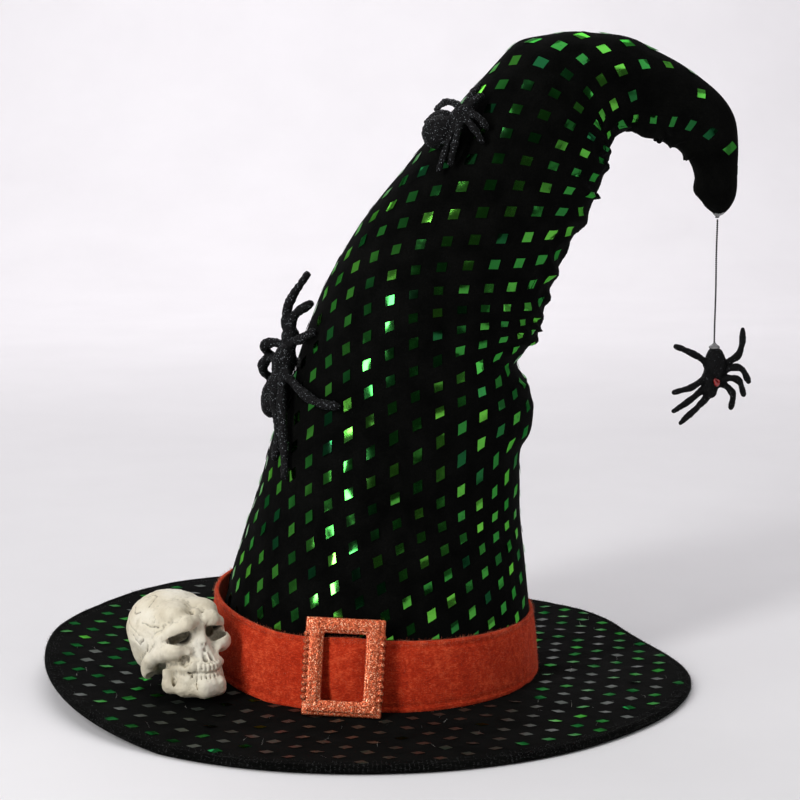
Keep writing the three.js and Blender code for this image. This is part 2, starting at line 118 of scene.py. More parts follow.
def grid_normals(points):
    """Normals of a closed grid, rows along the first axis and columns round the second."""
    down = np.gradient(points, axis=0)
    across = np.roll(points, -1, axis=1) - np.roll(points, 1, axis=1)
    return unit(np.cross(across, down))


def outward_normals(points, angle):
    """Normals of a grid round the crown, with its columns at angle, judged on a low row."""
    normal = grid_normals(points)
    low_row = 20
    return -normal if (normal[low_row, :, 0] * np.cos(angle)).sum() < 0 else normal


def mesh_normals(points, faces):
    corners = points[faces]
    face = np.cross(corners[:, 2] - corners[:, 0], corners[:, 3] - corners[:, 1])
    normal = np.zeros_like(points)
    for k in range(4):
        np.add.at(normal, faces[:, k], face)
    return unit(normal)


def circle(count):
    return np.arange(count) / count * 2 * np.pi


def mark(obj, name, values):
    """Gives each point of a mesh a number for its material to read."""
    layer = obj.data.attributes.new(name, "FLOAT", "POINT")
    layer.data.foreach_set("value", values.astype(np.float32))


HASH_PRIMES = np.array([374761393, 668265263, 2147483647])


def value_noise(points, scale, seed):
    """Smooth noise from -1 to 1, with features about `scale` apart."""
    p = np.asarray(points, float) / scale
    cell = np.floor(p).astype(np.int64)
    f = p - cell
    f = f * f * (3 - 2 * f)
    total = np.zeros(p.shape[:-1])
    for corner in np.ndindex(2, 2, 2):
        at = cell + np.array(corner)
        hashed = (at * HASH_PRIMES).sum(axis=-1)
        hashed = (hashed + seed * 974634777) & 0xFFFFFFFF
        hashed = ((hashed ^ (hashed >> 13)) * 1274126177) & 0xFFFFFFFF
        value = ((hashed ^ (hashed >> 16)) & 0xFFFF) / 32767.5 - 1
        weight = np.prod(np.where(np.array(corner) == 1, f, 1 - f), axis=-1)
        total += weight * value
    return total


def fractal(points, scale, seed, octaves=3):
    """Value noise in octaves, each of half the size and half the height of the one before."""
    total = np.zeros(np.asarray(points).shape[:-1])
    for k in range(octaves):
        total += value_noise(points, scale / 2**k, seed + k) / 2**k
    return total / 1.5


# ---- Curves and curved cones ----
def along(rows, t):
    """A smooth curve through rows of numbers: t counts the rows and meets each of them."""
    rows = np.asarray(rows, float)
    t = np.atleast_1d(np.asarray(t, float))
    last = len(rows) - 1
    more = np.vstack([2 * rows[0] - rows[1], rows, 2 * rows[-1] - rows[-2]])
    i = np.clip(np.floor(t).astype(int), 0, last - 1)
    f = (t - i)[:, None]
    a, b, c, d = more[i], more[i + 1], more[i + 2], more[i + 3]
    return (
        b
        + 0.5 * f * (c - a)
        + f**2 * (a - 2.5 * b + 2 * c - 0.5 * d)
        + f**3 * (1.5 * (b - c) + 0.5 * (d - a))
    )


def section(rows, t):
    """Centre, radius, and the direction in the section's plane that faces the curl."""
    t = np.atleast_1d(np.asarray(t, float))
    reach = 0.02
    here = along(rows, t)
    low = along(rows, np.maximum(0, t - reach))
    high = along(rows, np.minimum(len(rows) - 1, t + reach))
    step = unit((high - low)[:, :2])
    zero = np.zeros(len(t))
    inward = np.stack([step[:, 1], zero, -step[:, 0]], axis=1)
    centre = np.stack([here[:, 0], zero, here[:, 1]], axis=1)
    return centre, here[:, 2], inward


def cone_point(rows, t, angle, extra=0.0):
    centre, radius, inward = section(rows, t)
    r = radius + extra
    y = np.zeros_like(centre)
    y[:, 1] = r * np.sin(angle)
    return centre + inward * (r * np.cos(angle))[:, None] + y


def perched(point):
    """A point given as station, angle in degrees and height above the crown."""
    t, degrees, height = point
    return cone_point(CROWN, t, np.radians([degrees]), height)[0]


WALL_TOP, WALL_HALVINGS = 3.0, 24  # the station that every search of the wall stays below


def wall(angle, z, extra):
    """The point of the crown's wall at height z, on the side that angle gives, by halving."""
    angle, z = np.broadcast_arrays(np.asarray(angle, float), np.asarray(z, float))
    angle_row, z_row = angle.ravel(), z.ravel()
    extra_row = np.broadcast_to(extra, angle.shape).ravel()
    low, high = np.zeros(angle.size), np.full(angle.size, WALL_TOP)
    for _ in range(WALL_HALVINGS):
        t = (low + high) / 2
        under = cone_point(CROWN, t, angle_row, extra_row)[:, 2] < z_row
        low, high = np.where(under, t, low), np.where(under, high, t)
    return cone_point(CROWN, low, angle_row, extra_row).reshape(*angle.shape, 3)


# ---- The brim's form ----
def smoothstep(x, low, high):
    f = np.clip((x - low) / (high - low), 0, 1)
    return f * f * (3 - 2 * f)


def underside(radius, angle):
    seam = CROWN[0][2]
    raised = np.maximum(0, (np.cos(angle - LIFT_TOWARDS) - LIFT_START) / (1 - LIFT_START))
    out = np.clip((radius - seam) / (BRIM_OUTER - seam), 0, 1)
    slope = 1 - smoothstep(radius, seam, FLAT_FROM)
    rise = SEAM_RISE * (1 + np.cos(angle - SEAM_RISE_TOWARDS))
    return rise * slope + raised * (SEAM_LIFT + (EDGE_LIFT - SEAM_LIFT) * out)


def edge_offset(angle):
    degrees, stand = zip(*EDGE_OFFSETS)
    around = [np.degrees(angle) + near for near in (-6, -3, 0, 3, 6)]
    return sum(np.interp(at % 360, degrees, stand) for at in around) / len(around)


def brim_point(radius, angle, above):
    share = max(0, (radius - BRIM_INNER) / (BRIM_OUTER - BRIM_INNER))
    r = radius + share * edge_offset(angle)
    x = r * np.cos(angle) + share * BRIM_SHIFT
    return np.stack([x, r * np.sin(angle), underside(radius, angle) + above], axis=-1)


SEWN_IN = 1.5  # how deep the crown's end sits in the brim


def clear_of_brim(points):
    """The crown and its lining end at the brim, which they are sewn to."""
    angle = np.arctan2(points[..., 1], points[..., 0])
    cut = points.copy()
    low = underside(BRIM_INNER, angle) + BRIM_THICKNESS - SEWN_IN
    cut[..., 2] = np.maximum(points[..., 2], low)
    return cut


# ---- Solid forms from distance fields ----
FAR, NEARBY = 9.0, 4  # the distance where nothing is, and how far round a form it is worked out


class Field:
    """Distances on a grid of points, joined and cut by simple forms, then skinned."""

    def __init__(self, low, high, step):
        self.low, self.step = np.array(low, float), step
        self.size = np.ceil((np.array(high, float) - self.low) / step).astype(int) + 1
        self.value = np.full(self.size, FAR, np.float32)

    def _block(self, low, high, margin):
        a = np.floor((np.asarray(low) - margin - self.low) / self.step).astype(int)
        b = np.ceil((np.asarray(high) + margin - self.low) / self.step).astype(int) + 1
        a, b = np.clip(a, 0, self.size - 1), np.clip(b, 1, self.size)
        block = tuple(slice(p, q) for p, q in zip(a, b))
        axes = [self.low[k] + self.step * np.arange(a[k], b[k]) for k in range(3)]
        return block, np.stack(np.meshgrid(*axes, indexing="ij"), axis=-1)

    def _merge(self, low, high, distance, soft, cut):
        block, p = self._block(low, high, NEARBY + 2 * soft)
        d, old = distance(p), self.value[block]
        if cut:
            d, old = d, -old
        h = np.maximum(soft - np.abs(old - d), 0) / max(soft, 1e-6)
        new = np.minimum(old, d) - h * h * soft * 0.25
        self.value[block] = -new if cut else new

    def ellipsoid(self, centre, radii, axes=None, soft=1.5, cut=False):
        centre, radii = np.asarray(centre, float), np.asarray(radii, float)
        reach = np.full(3, radii.max()) if axes is not None else radii

        def distance(p):
            q = p - centre
            if axes is not None:
                q = q @ np.asarray(axes).T
            near = np.linalg.norm(q / radii, axis=-1)
            far = np.linalg.norm(q / radii**2, axis=-1)
            return near * (near - 1) / np.maximum(far, 1e-6)

        self._merge(centre - reach, centre + reach, distance, soft, cut)

    def limb(self, points, radii, soft=1.0, cut=False):
        """A chain of rods through points, with a radius at each."""
        points, radii = np.asarray(points, float), np.asarray(radii, float)
        for a, b, ra, rb in zip(points[:-1], points[1:], radii[:-1], radii[1:]):
            ab = b - a

            def distance(p):
                f = np.clip(((p - a) @ ab) / max(ab @ ab, 1e-9), 0, 1)
                return np.linalg.norm(p - a - f[..., None] * ab, axis=-1) - (ra + (rb - ra) * f)

            r = max(ra, rb)
            self._merge(np.minimum(a, b) - r, np.maximum(a, b) + r, distance, soft, cut)

    def block(self, centre, half, rounding, soft=0.0, cut=False):
        centre, half = np.asarray(centre, float), np.asarray(half, float)

        def distance(p):
            q = np.abs(p - centre) - (half - rounding)
            outside = np.linalg.norm(np.maximum(q, 0), axis=-1)
            return outside + np.minimum(q.max(axis=-1), 0) - rounding

        self._merge(centre - half, centre + half, distance, soft, cut)

    def carve(self, distance):
        """Cuts by a distance given for every point of the grid."""
        _, p = self._block(self.low, self.low + self.size * self.step, 0)
        self.value = np.maximum(self.value, -distance(p)).astype(np.float32)

    def skin(self):
        """The surface where the distance is zero, as one point in each cell that it crosses."""
        v = self.value
        inside = v < 0
        n = np.array(v.shape) - 1
        corners = [np.array(c) for c in np.ndindex(2, 2, 2)]

        def shifted(a, c):
            return a[c[0] : c[0] + n[0], c[1] : c[1] + n[1], c[2] : c[2] + n[2]]

        count = sum(shifted(inside, c).astype(np.int8) for c in corners)
        cells = np.argwhere((count > 0) & (count < 8))
        index = np.full(n, -1)
        index[tuple(cells.T)] = np.arange(len(cells))
        total, hits = np.zeros((len(cells), 3)), np.zeros(len(cells))
        for c in corners:
            for axis in range(3):
                if c[axis]:
                    continue
                e = c.copy()
                e[axis] = 1
                f0 = v[tuple((cells + c).T)]
                f1 = v[tuple((cells + e).T)]
                crosses = (f0 < 0) != (f1 < 0)
                f = np.where(crosses, f0 / np.where(crosses, f0 - f1, 1), 0)
                at = c + f[:, None] * (e - c)
                total += at * crosses[:, None]
                hits += crosses
        points = self.low + self.step * (cells + total / hits[:, None])
        faces = []
        for axis in range(3):
            u, w = (axis + 1) % 3, (axis + 2) % 3
            one = np.zeros(3, int)
            one[axis] = 1
            span = tuple(slice(0, s - d) for s, d in zip(v.shape, one))
            next_span = tuple(slice(d, None) for d in one)
            a, b = inside[span], inside[next_span]
            edge = np.argwhere(a != b)
            edge = edge[(edge[:, u] > 0) & (edge[:, w] > 0)]
            edge = edge[(edge[:, u] < n[u]) & (edge[:, w] < n[w])]
            du, dw = np.zeros(3, int), np.zeros(3, int)
            du[u], dw[w] = 1, 1
            ring = [edge - du - dw, edge - dw, edge, edge - du]
            quad = np.stack([index[tuple(r.T)] for r in ring], axis=1)
            outwards = inside[tuple(edge.T)]
            faces.append(np.where(outwards[:, None], quad, quad[:, ::-1]))
        faces = np.vstack(faces)
        faces = faces[(faces >= 0).all(axis=1)]
        return relaxed(points, faces), faces


def relaxed(points, faces):
    """Each point moved half the way to the middle of its neighbours."""
    total, hits = np.zeros_like(points), np.zeros(len(points))
    for k in range(4):
        for near in (1, 3):
            np.add.at(total, faces[:, k], points[faces[:, (k + near) % 4]])
            np.add.at(hits, faces[:, k], 1)
    return points + 0.5 * (total / np.maximum(hits, 1)[:, None] - points)


def rough(points, faces, amount, scale, seed):
    normal = mesh_normals(points, faces)
    return points + normal * (amount * fractal(points, scale, seed))[:, None]


# ---- Materials ----
def fill(made, socket, value):
    """Links a node's output to a socket, or sets the socket's own value."""
    if isinstance(value, bpy.types.NodeSocket):
        made.node_tree.links.new(value, socket)
    else:
        socket.default_value = value


def feed(made, **values):
    """Fills inputs of the material's shader, given by name."""
    shader = made.node_tree.nodes["Principled BSDF"]
    for key, value in values.items():
        fill(made, shader.inputs[key.replace("_", " ")], value)


def material(name, colour, roughness, metallic=0.0, **values):
    made = bpy.data.materials.new(name)
    made.use_nodes = True
    feed(made, Base_Color=(*colour, 1), Roughness=roughness, Metallic=metallic, **values)
    return made


def node(made, kind, **values):
    """A node of a material or world, with its settings and inputs given by name."""
    made_node = made.node_tree.nodes.new(kind)
    for key, value in values.items():
        if hasattr(made_node, key) and key not in made_node.inputs:
            setattr(made_node, key, value)
        else:
            fill(made, made_node.inputs[key.replace("_", " ")], value)
    return made_node


def place(made):
    return node(made, "ShaderNodeTexCoord").outputs["Object"]


def noise(made, scale, detail=3.0, vector=None):
    values = {"Vector": vector or place(made), "Scale": scale, "Detail": detail}
    return node(made, "ShaderNodeTexNoise", Roughness=0.6, **values).outputs["Fac"]


def cellular(made, scale):
    return node(made, "ShaderNodeTexVoronoi", Vector=place(made), Scale=scale)


def stretched(made, scale):
    return node(made, "ShaderNodeMapping", Vector=place(made), Scale=scale).outputs["Vector"]


def ramp(made, factor, stops):
    made_node = node(made, "ShaderNodeValToRGB", Fac=factor)
    elements = made_node.color_ramp.elements
    while len(elements) < len(stops):
        elements.new(0.5)
    for element, (position, colour) in zip(elements, stops):
        element.position, element.color = position, (*colour, 1)
    return made_node.outputs["Color"]


def grey(made, factor, low, high, start=0.0, end=1.0):
    """Low where the factor is at its start, and high where it is at its end."""
    limits = {"From_Min": start, "From_Max": end, "To_Min": low, "To_Max": high}
    return node(made, "ShaderNodeMapRange", Value=factor, **limits).outputs["Result"]


def mixed(made, factor, first, second):
    made_node = node(made, "ShaderNodeMix", data_type="RGBA")
    colours = [(*c, 1) if isinstance(c, tuple) else c for c in (first, second)]
    for number, value in zip((0, 6, 7), (factor, *colours)):
        fill(made, made_node.inputs[number], value)
    return made_node.outputs[2]


def math_node(made, operation, first, second):
    made_node = node(made, "ShaderNodeMath", operation=operation)
    for socket, value in zip(made_node.inputs, (first, second)):
        fill(made, socket, value)
    return made_node.outputs[0]


def bump(made, *layers):
    """Each layer is (height, strength, distance in mm)."""
    last = {}
    for height, strength, distance in layers:
        values = {"Height": height, "Strength": strength, "Distance": distance * MM, **last}
        last = {"Normal": node(made, "ShaderNodeBump", **values).outputs["Normal"]}
    feed(made, **last)


def velour():
    made = material(
        "velour", (0.001, 0.001, 0.001), 0.9, Sheen_Weight=0.018, Sheen_Roughness=0.5,
        Sheen_Tint=(0.4, 0.42, 0.4, 1), Specular_IOR_Level=0.02,
    )
    pile = noise(made, 1400, 4)
    tone = math_node(made, "MULTIPLY", pile, noise(made, 60, 3))
    stops = [(0.12, (0.0007, 0.0008, 0.0007)), (0.42, (0.0040, 0.0041, 0.0037))]
    feed(made, Base_Color=ramp(made, tone, stops))
    bump(made, (noise(made, 260, 3), 0.35, 0.6), (pile, 0.6, 0.35))
    return made


def foil():
    """Mirror foil under a clear film: it takes its brightness from what it reflects. A negative
    tint marks a patch whose foil is rubbed off down to its grey backing."""
    made = material(
        "green_foil", (0.05, 0.5, 0.05), 0.16, 1.0, Coat_Weight=0.05, Coat_Roughness=0.2,
        Specular_Tint=(0.45, 0.7, 0.45, 1),
    )
    tint = node(made, "ShaderNodeAttribute", attribute_name="tint").outputs["Fac"]
    colour = ramp(
        made, tint,
        [(0.0, (0.007, 0.08, 0.025)), (0.45, (0.033, 0.25, 0.036)), (1.0, (0.14, 0.54, 0.055))],
    )
    worn = grey(made, noise(made, 260, 2), 0, 0.4, 0.60, 0.72)
    colour = mixed(made, worn, colour, (0.015, 0.07, 0.035))
    rubbed = grey(made, tint, 1, 0, -0.6, -0.1)
    colour = mixed(made, rubbed, colour, (0.013, 0.016, 0.013))
    dull = grey(made, noise(made, 160, 1), 0.07, 0.16, 0.35, 0.65)
    dull = math_node(made, "ADD", dull, math_node(made, "MULTIPLY", rubbed, 0.3))
    feed(made, Base_Color=colour, Roughness=dull, Metallic=grey(made, rubbed, 1.0, 0.0))
    bump(made, (noise(made, 130, 1), 0.12, 0.6))
    return made


def felt():
    made = material(
        "rust_felt", (0.30, 0.022, 0.006), 0.95, Sheen_Weight=0.2, Sheen_Roughness=0.5,
        Sheen_Tint=(1.0, 0.30, 0.17, 1), Specular_IOR_Level=0.08,
    )
    fibre = noise(made, 620, 6, stretched(made, (1, 1, 2.2)))
    tuft = noise(made, 240, 5)
    cloud = noise(made, 45, 4)
    tone = math_node(made, "MULTIPLY", fibre, 0.45)
    for part, weight in ((tuft, 0.3), (cloud, 0.25)):
        tone = math_node(made, "ADD", tone, math_node(made, "MULTIPLY", part, weight))
    colour = ramp(
        made, tone,
        [(0.34, (0.24, 0.010, 0.003)), (0.5, (0.49, 0.033, 0.009)), (0.66, (0.78, 0.11, 0.038))],
    )
    feed(made, Base_Color=colour)
    bump(made, (cloud, 0.3, 1.5), (tuft, 0.5, 0.8), (fibre, 0.8, 0.5))
    return made


def sparkle(made, scale, base, bright, share, low, high):
    """Small flakes: each Voronoi cell has its own tone, and a share of them is bright."""
    cells = cellular(made, scale)
    apart = node(made, "ShaderNodeSeparateColor", Color=cells.outputs["Color"]).outputs
    lucky = grey(made, apart[0], 0, 1, 1 - share, 1 - share + 0.02)
    tone = ramp(made, apart[1], list(zip((0.0, 0.5, 1.0), base)))
    feed(made, Base_Color=mixed(made, lucky, tone, bright))
    feed(made, Roughness=grey(made, apart[2], low, high))
    return cells, lucky


def glitter_black(name, share, scale):
    made = material(name, (0.004, 0.004, 0.005), 0.6, 0.0, Specular_IOR_Level=0.12)
    base = ((0.0006, 0.0006, 0.0008), (0.0016, 0.0016, 0.0018), (0.005, 0.005, 0.0056))
    cells, lucky = sparkle(made, scale, base, (0.40, 0.43, 0.46), share, 0.45, 0.85)
    feed(made, Metallic=grey(made, lucky, 0.0, 0.9))
    bump(made, (noise(made, 520, 4), 0.9, 0.6), (cells.outputs["Distance"], 0.6, 0.2))
    return made


def glitter_copper():
    made = material("copper_glitter", (0.4, 0.08, 0.03), 0.35, 0.7)
    base = ((0.30, 0.035, 0.010), (0.52, 0.09, 0.03), (0.82, 0.22, 0.09))
    cells, _ = sparkle(made, 2200, base, (1.0, 0.52, 0.32), 0.12, 0.22, 0.6)
    bump(made, (noise(made, 900, 3), 0.5, 0.35), (cells.outputs["Color"], 0.8, 0.3))
    return made


def bone():
    made = material("aged_bone", (0.62, 0.56, 0.42), 0.55, Specular_IOR_Level=0.35)
    hollow = node(made, "ShaderNodeAttribute", attribute_name="hollow").outputs["Fac"]
    stain = noise(made, 38, 6)
    grain = noise(made, 210, 5, stretched(made, (1, 1, 0.5)))
    base = ramp(
        made, stain,
        [(0.3, (0.53, 0.46, 0.33)), (0.5, (0.70, 0.64, 0.50)), (0.7, (0.80, 0.76, 0.65))],
    )
    colour = mixed(made, grey(made, grain, 0, 0.35, 0.55, 0.72), base, (0.34, 0.29, 0.20))
    # Browner in the shallow hollows
    colour = mixed(made, grey(made, hollow, 0, 0.82, 0.03, 0.28), colour, (0.12, 0.10, 0.07))
    # Painted shade: near black in the deep hollows and the eye sockets
    colour = mixed(made, grey(made, hollow, 0, 0.95, 0.32, 0.8), colour, (0.020, 0.017, 0.013))
    feed(made, Base_Color=colour)
    feed(made, Roughness=grey(made, hollow, 0.58, 0.3, 0.3, 0.9))
    bump(made, (noise(made, 90, 4), 0.25, 1.0), (grain, 0.35, 0.3))
    return made


def hot_glue(name, tone, clear):
    made = material(name, (tone, tone, tone), 0.2, Transmission_Weight=clear, IOR=1.48)
    low, high = (0.6 * tone,) * 3, (1.3 * tone,) * 3
    colour = ramp(made, noise(made, 260, 3), [(0.35, low), (0.65, high)])
    feed(made, Base_Color=colour)
    bump(made, (noise(made, 320, 3), 0.35, 0.5))
    return made


def woven(name, dark, light, scale):
    made = material(name, dark, 0.85, Sheen_Weight=0.2, Specular_IOR_Level=0.2)
    warp, weft = (
        node(
            made, "ShaderNodeTexWave", Vector=place(made), Scale=scale, Distortion=0.6,
            Detail=2.0, bands_direction=direction,
        ).outputs["Fac"]
        for direction in "XZ"
    )
    cloth = math_node(made, "MAXIMUM", warp, weft)
    feed(made, Base_Color=ramp(made, cloth, [(0.2, dark), (0.9, light)]))
    bump(made, (cloth, 0.5, 0.25), (noise(made, 500, 3), 0.3, 0.2))
    return made


def foam():
    made = material("lining_foam", (0.03, 0.03, 0.032), 0.95, Specular_IOR_Level=0.1)
    pores = cellular(made, 900).outputs["Distance"]
    tone = math_node(made, "MULTIPLY", pores, noise(made, 90, 3))
    stops = [(0.0, (0.012, 0.012, 0.013)), (0.5, (0.06, 0.06, 0.063))]
    feed(made, Base_Color=ramp(made, tone, stops))
    bump(made, (pores, 0.5, 0.4), (noise(made, 60, 3), 0.4, 2.0))
    return made


def fibre_board():
    made = material("stiffener_board", (0.4, 0.37, 0.3), 0.9)
    fibre = noise(made, 320, 5, stretched(made, (1, 0.3, 1)))
    stops = [(0.3, (0.26, 0.24, 0.19)), (0.7, (0.5, 0.47, 0.4))]
    feed(made, Base_Color=ramp(made, fibre, stops))
    bump(made, (fibre, 0.4, 0.3))
    return made


def steel_wire():
    made = material("steel_wire", (0.4, 0.4, 0.42), 0.4, 1.0)
    grain = noise(made, 900, 3, stretched(made, (0.2, 0.2, 1)))
    stops = [(0.3, (0.3, 0.3, 0.32)), (0.7, (0.5, 0.5, 0.52))]
    feed(made, Roughness=grey(made, grain, 0.28, 0.55), Base_Color=ramp(made, grain, stops))
    bump(made, (grain, 0.2, 0.1))
    return made


def red_spot():
    made = material("red_paint", (0.2, 0.004, 0.004), 0.15, Coat_Weight=0.6)
    stops = [(0.35, (0.10, 0.002, 0.003)), (0.65, (0.34, 0.01, 0.01))]
    feed(made, Base_Color=ramp(made, noise(made, 500, 3), stops))
    bump(made, (noise(made, 500, 3), 0.3, 0.2))
    return made


def loose_fibre(name, dark, light):
    made = material(name, dark, 0.8, Sheen_Weight=0.3)
    feed(made, Base_Color=ramp(made, noise(made, 120, 2), [(0.35, dark), (0.65, light)]))
    return made


M = {
    "velour": velour(),
    "foil": foil(),
    "felt": felt(),
    "glitter": glitter_black("black_glitter", 0.03, 3200),
    "plastic": glitter_black("black_plastic", 0.01, 3200),
    "copper": glitter_copper(),
    "bone": bone(),
    "glue": hot_glue("hot_glue", 0.4, 0.5),
    "dark_glue": hot_glue("dark_hot_glue", 0.01, 0.1),
    "ribbon": woven("black_ribbon", (0.008, 0.008, 0.009), (0.03, 0.03, 0.032), 700),
    "thread": woven("black_thread", (0.01, 0.01, 0.01), (0.05, 0.05, 0.05), 1200),
    "foam": foam(),
    "board": fibre_board(),
    "wire": steel_wire(),
    "red": red_spot(),
    "dark_fibre": loose_fibre("velour_fibre", (0.006, 0.006, 0.006), (0.025, 0.025, 0.025)),
    "pale_fibre": loose_fibre("stray_fibre", (0.45, 0.43, 0.4), (0.7, 0.68, 0.64)),
    "rust_fibre": loose_fibre("felt_fibre", (0.34, 0.04, 0.01), (0.72, 0.2, 0.09)),
}


def finished(obj, look, body=None):
    obj.data.materials.append(M[look])
    if body:
        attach(obj, body)
    return obj


# ---- The thread, the knot and the tip's glue ----
STRAND_TWIST, SWAY, SWAY_LENGTH = 2.4, 0.10, 7.0


def thread_line():
    """Two strands twisted together, which sway a little on their way down."""
    steps, sides = 260, 14
    z = np.linspace(THREAD_TOP, THREAD_END, steps)
    a = circle(sides)
    turn = 2 * np.pi * (THREAD_TOP - z) / STRAND_TWIST
    lobes = THREAD_RADIUS * (0.80 + 0.2 * np.cos(2 * (a[None] - turn[:, None])))
    x = THREAD_X + SWAY * np.sin(z / SWAY_LENGTH)[:, None] + lobes * np.cos(a)
    y = lobes * np.sin(a)
    points = np.stack([x, y, np.repeat(z[:, None], sides, 1)], axis=-1).reshape(-1, 3)
    faces = grid_faces(steps, sides).tolist()
    faces += [list(range(sides))[::-1], list(range((steps - 1) * sides, steps * sides))]
    obj = mesh_object("thread_line", points, faces)
    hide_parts("hanging_thread")
    return finished(obj, "thread", "thread")


def blob(name, field, look, body, roughness=None, seed=1):
    points, faces = field.skin()
    if roughness:
        points = rough(points, faces, *roughness, seed)
    obj = mesh_object(name, points, faces)
    return finished(obj, look, body)


def tip_glue():
    f = Field((192, -9, 273), (211, 9, 286), 0.4)
    f.ellipsoid((THREAD_X, 0, 277.6), (3.0, 2.8, 2.0), soft=2.0)
    f.ellipsoid((THREAD_X + 1.4, -0.9, 278.4), (2.6, 2.8, 2.0), soft=2.0)
    f.limb([(THREAD_X, 0, 277.5), (THREAD_X, 0, 276.0)], [2.2, 1.1], soft=1.2)
    obj = blob("tip_glue_drop", f, "glue", "tip", (0.18, 2.2))
    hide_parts("tip_glue")


def spider_glue():
    f = Field((194, -7, 194), (208, 7, 204), 0.35)
    f.ellipsoid((THREAD_X, 0, 198.3), (3.3, 3.2, 1.5), soft=1.0)
    f.limb([(THREAD_X, 0, 199), (THREAD_X + 0.1, 0, 200.5)], [1.9, 0.9], soft=1.2)
    obj = blob("spider_glue_drop", f, "glue", "spider", (0.12, 1.6))
    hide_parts("hanging_spider_glue")
    return obj


def knot():
    f = Field((198, -3, 272), (204, 3, 278), 0.16)
    a = np.linspace(0, 2 * np.pi * 1.5, 28)
    r = 0.62 + 0.22 * np.cos(2 * a)
    loop = np.stack(
        [THREAD_X + r * np.cos(a), r * np.sin(a), KNOT_Z + 0.42 * np.sin(1.5 * a)], axis=1
    )
    f.limb(loop, np.full(len(loop), 0.42), soft=0.15)
    obj = blob("thread_tie", f, "thread", "knot")
    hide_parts("thread_knot")
    return obj


# ---- Spiders ----
def spline(points, count):
    points = np.asarray(points, float)
    return along(points, np.linspace(0, len(points) - 1, count))


def knobbly(points, base, seed, ends=1.0):
    """Radii along a leg: thicker at its joints, and rounded off at its foot."""
    f = np.linspace(0, 1, len(points))
    random = np.random.default_rng(seed)
    phase = random.uniform(0, 6.28)
    return base * (1.0 + 0.13 * np.sin(f * 17 + phase)) * (1 - 0.22 * ends * f**2)


def hanging_spider():
    origin = np.array([THREAD_X, 0, THREAD_END])
    thorax = (-1.4, 1, -22.5)
    legs = [
        [(-5, -1, -11.5), (-14.5, -4, -5), (-22.6, -1, -1.9)],
        [(-6.5, -1, -22), (-14, -3.5, -26), (-23, 0, -29.3)],
        [(-5.6, 0, -27), (-14, -1, -34), (-22.8, 2, -41)],
        [(-3.2, 0, -31), (-10.5, -2, -39), (-19, 0, -47.6)],
        [(7, 0, -12.2), (13.2, -3, -7.2), (15.8, -3, -0.2), (16.4, 0, 8)],
        [(8, -1, -15.4), (15.4, -4, -14.4), (20.8, 0, -23)],
        [(7.6, -1, -20.6), (14.2, -4, -21.6), (18, 0, -30.5)],
        [(6, 0, -24.5), (11.3, -2, -30), (10.8, 1, -38.4)],
    ]
    f = Field(origin + (-27, -10, -52), origin + (25, 9, 12), 0.5)
    f.ellipsoid(origin + (0.8, 0, -12.9), (6.6, 6.2, 9.2), soft=2.0)
    f.ellipsoid(origin + (0.5, -0.4, -6.5), (4.4, 4.3, 4.2), soft=2.0)
    f.ellipsoid(origin + thorax, (5.8, 5.0, 7.6), soft=2.0)
    f.ellipsoid(origin + (-1.8, -1.2, -29), (3.6, 3.4, 3.6), soft=1.6)
    for side in (-1.4, 1.4):
        f.ellipsoid(origin + (-1.8 + side, -3.4, -30.6), (1.0, 1.0, 1.2), soft=0.6)
    for seed, leg in enumerate(legs):
        points = origin + spline([thorax, *leg], 16)
        f.limb(points, knobbly(points, 1.86, seed), soft=1.1)
    obj = blob("dangling_spider", f, "plastic", "spider", (0.3, 1.6), 5)
    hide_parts("hanging_spider")
    g = Field(origin + (-4, -10, -27), origin + (6, -1, -18), 0.35)
    g.ellipsoid(origin + (1.4, -4.6, -22.8), (1.9, 1.0, 2.3), soft=0.6)
    g.ellipsoid(origin + (0.4, -4.9, -21.4), (1.1, 0.7, 1.3), soft=0.6)
    spot = blob("red_mark", g, "red", "spider", (0.1, 1.2))
    return obj, spot


SIDE_SPIDER = {
    "thorax": (3.62, 192, 9),
    "lumps": [
        ((3.2, 191, 8), (8, 9, 14.5), (3.62, 192, 8)),
        ((3.6, 192, 9), (7, 7, 11), (3.2, 191, 8)),
        ((3.86, 188, 9), (5.2, 5.2, 6.5), (3.6, 192, 9)),
    ],
    "legs": [
        [(3.89, 187, 10.5), (4.02, 186, 14.5), (4.26, 184, 15.5), (4.57, 183, 11.5)],
        [(3.9, 188, 10), (4.1, 188, 11), (4.3, 191, 5)],
        [(3.8, 192, 8), (3.9, 200, 6), (4.0, 206, 4)],
        [(3.74, 184, 10), (3.74, 181, 18), (3.67, 180, 21), (3.56, 175, 13), (3.5, 166, 4)],
        [(3.58, 181, 16), (3.48, 180, 19), (3.37, 178, 16), (3.28, 174, 9), (3.2, 168, 4)],
        [(3.48, 200, 7), (3.37, 216, 5), (3.33, 227, 4.5), (3.35, 236, 3.6)],
        [(3.18, 197, 10), (2.98, 201, 7), (2.71, 206, 4.8), (2.44, 208, 3.6)],
        [(3.25, 203, 9), (2.92, 208, 6.5), (2.6, 214, 4.8), (2.3, 219, 3.6)],
    ],
    "leg_radius": 2.6,
}
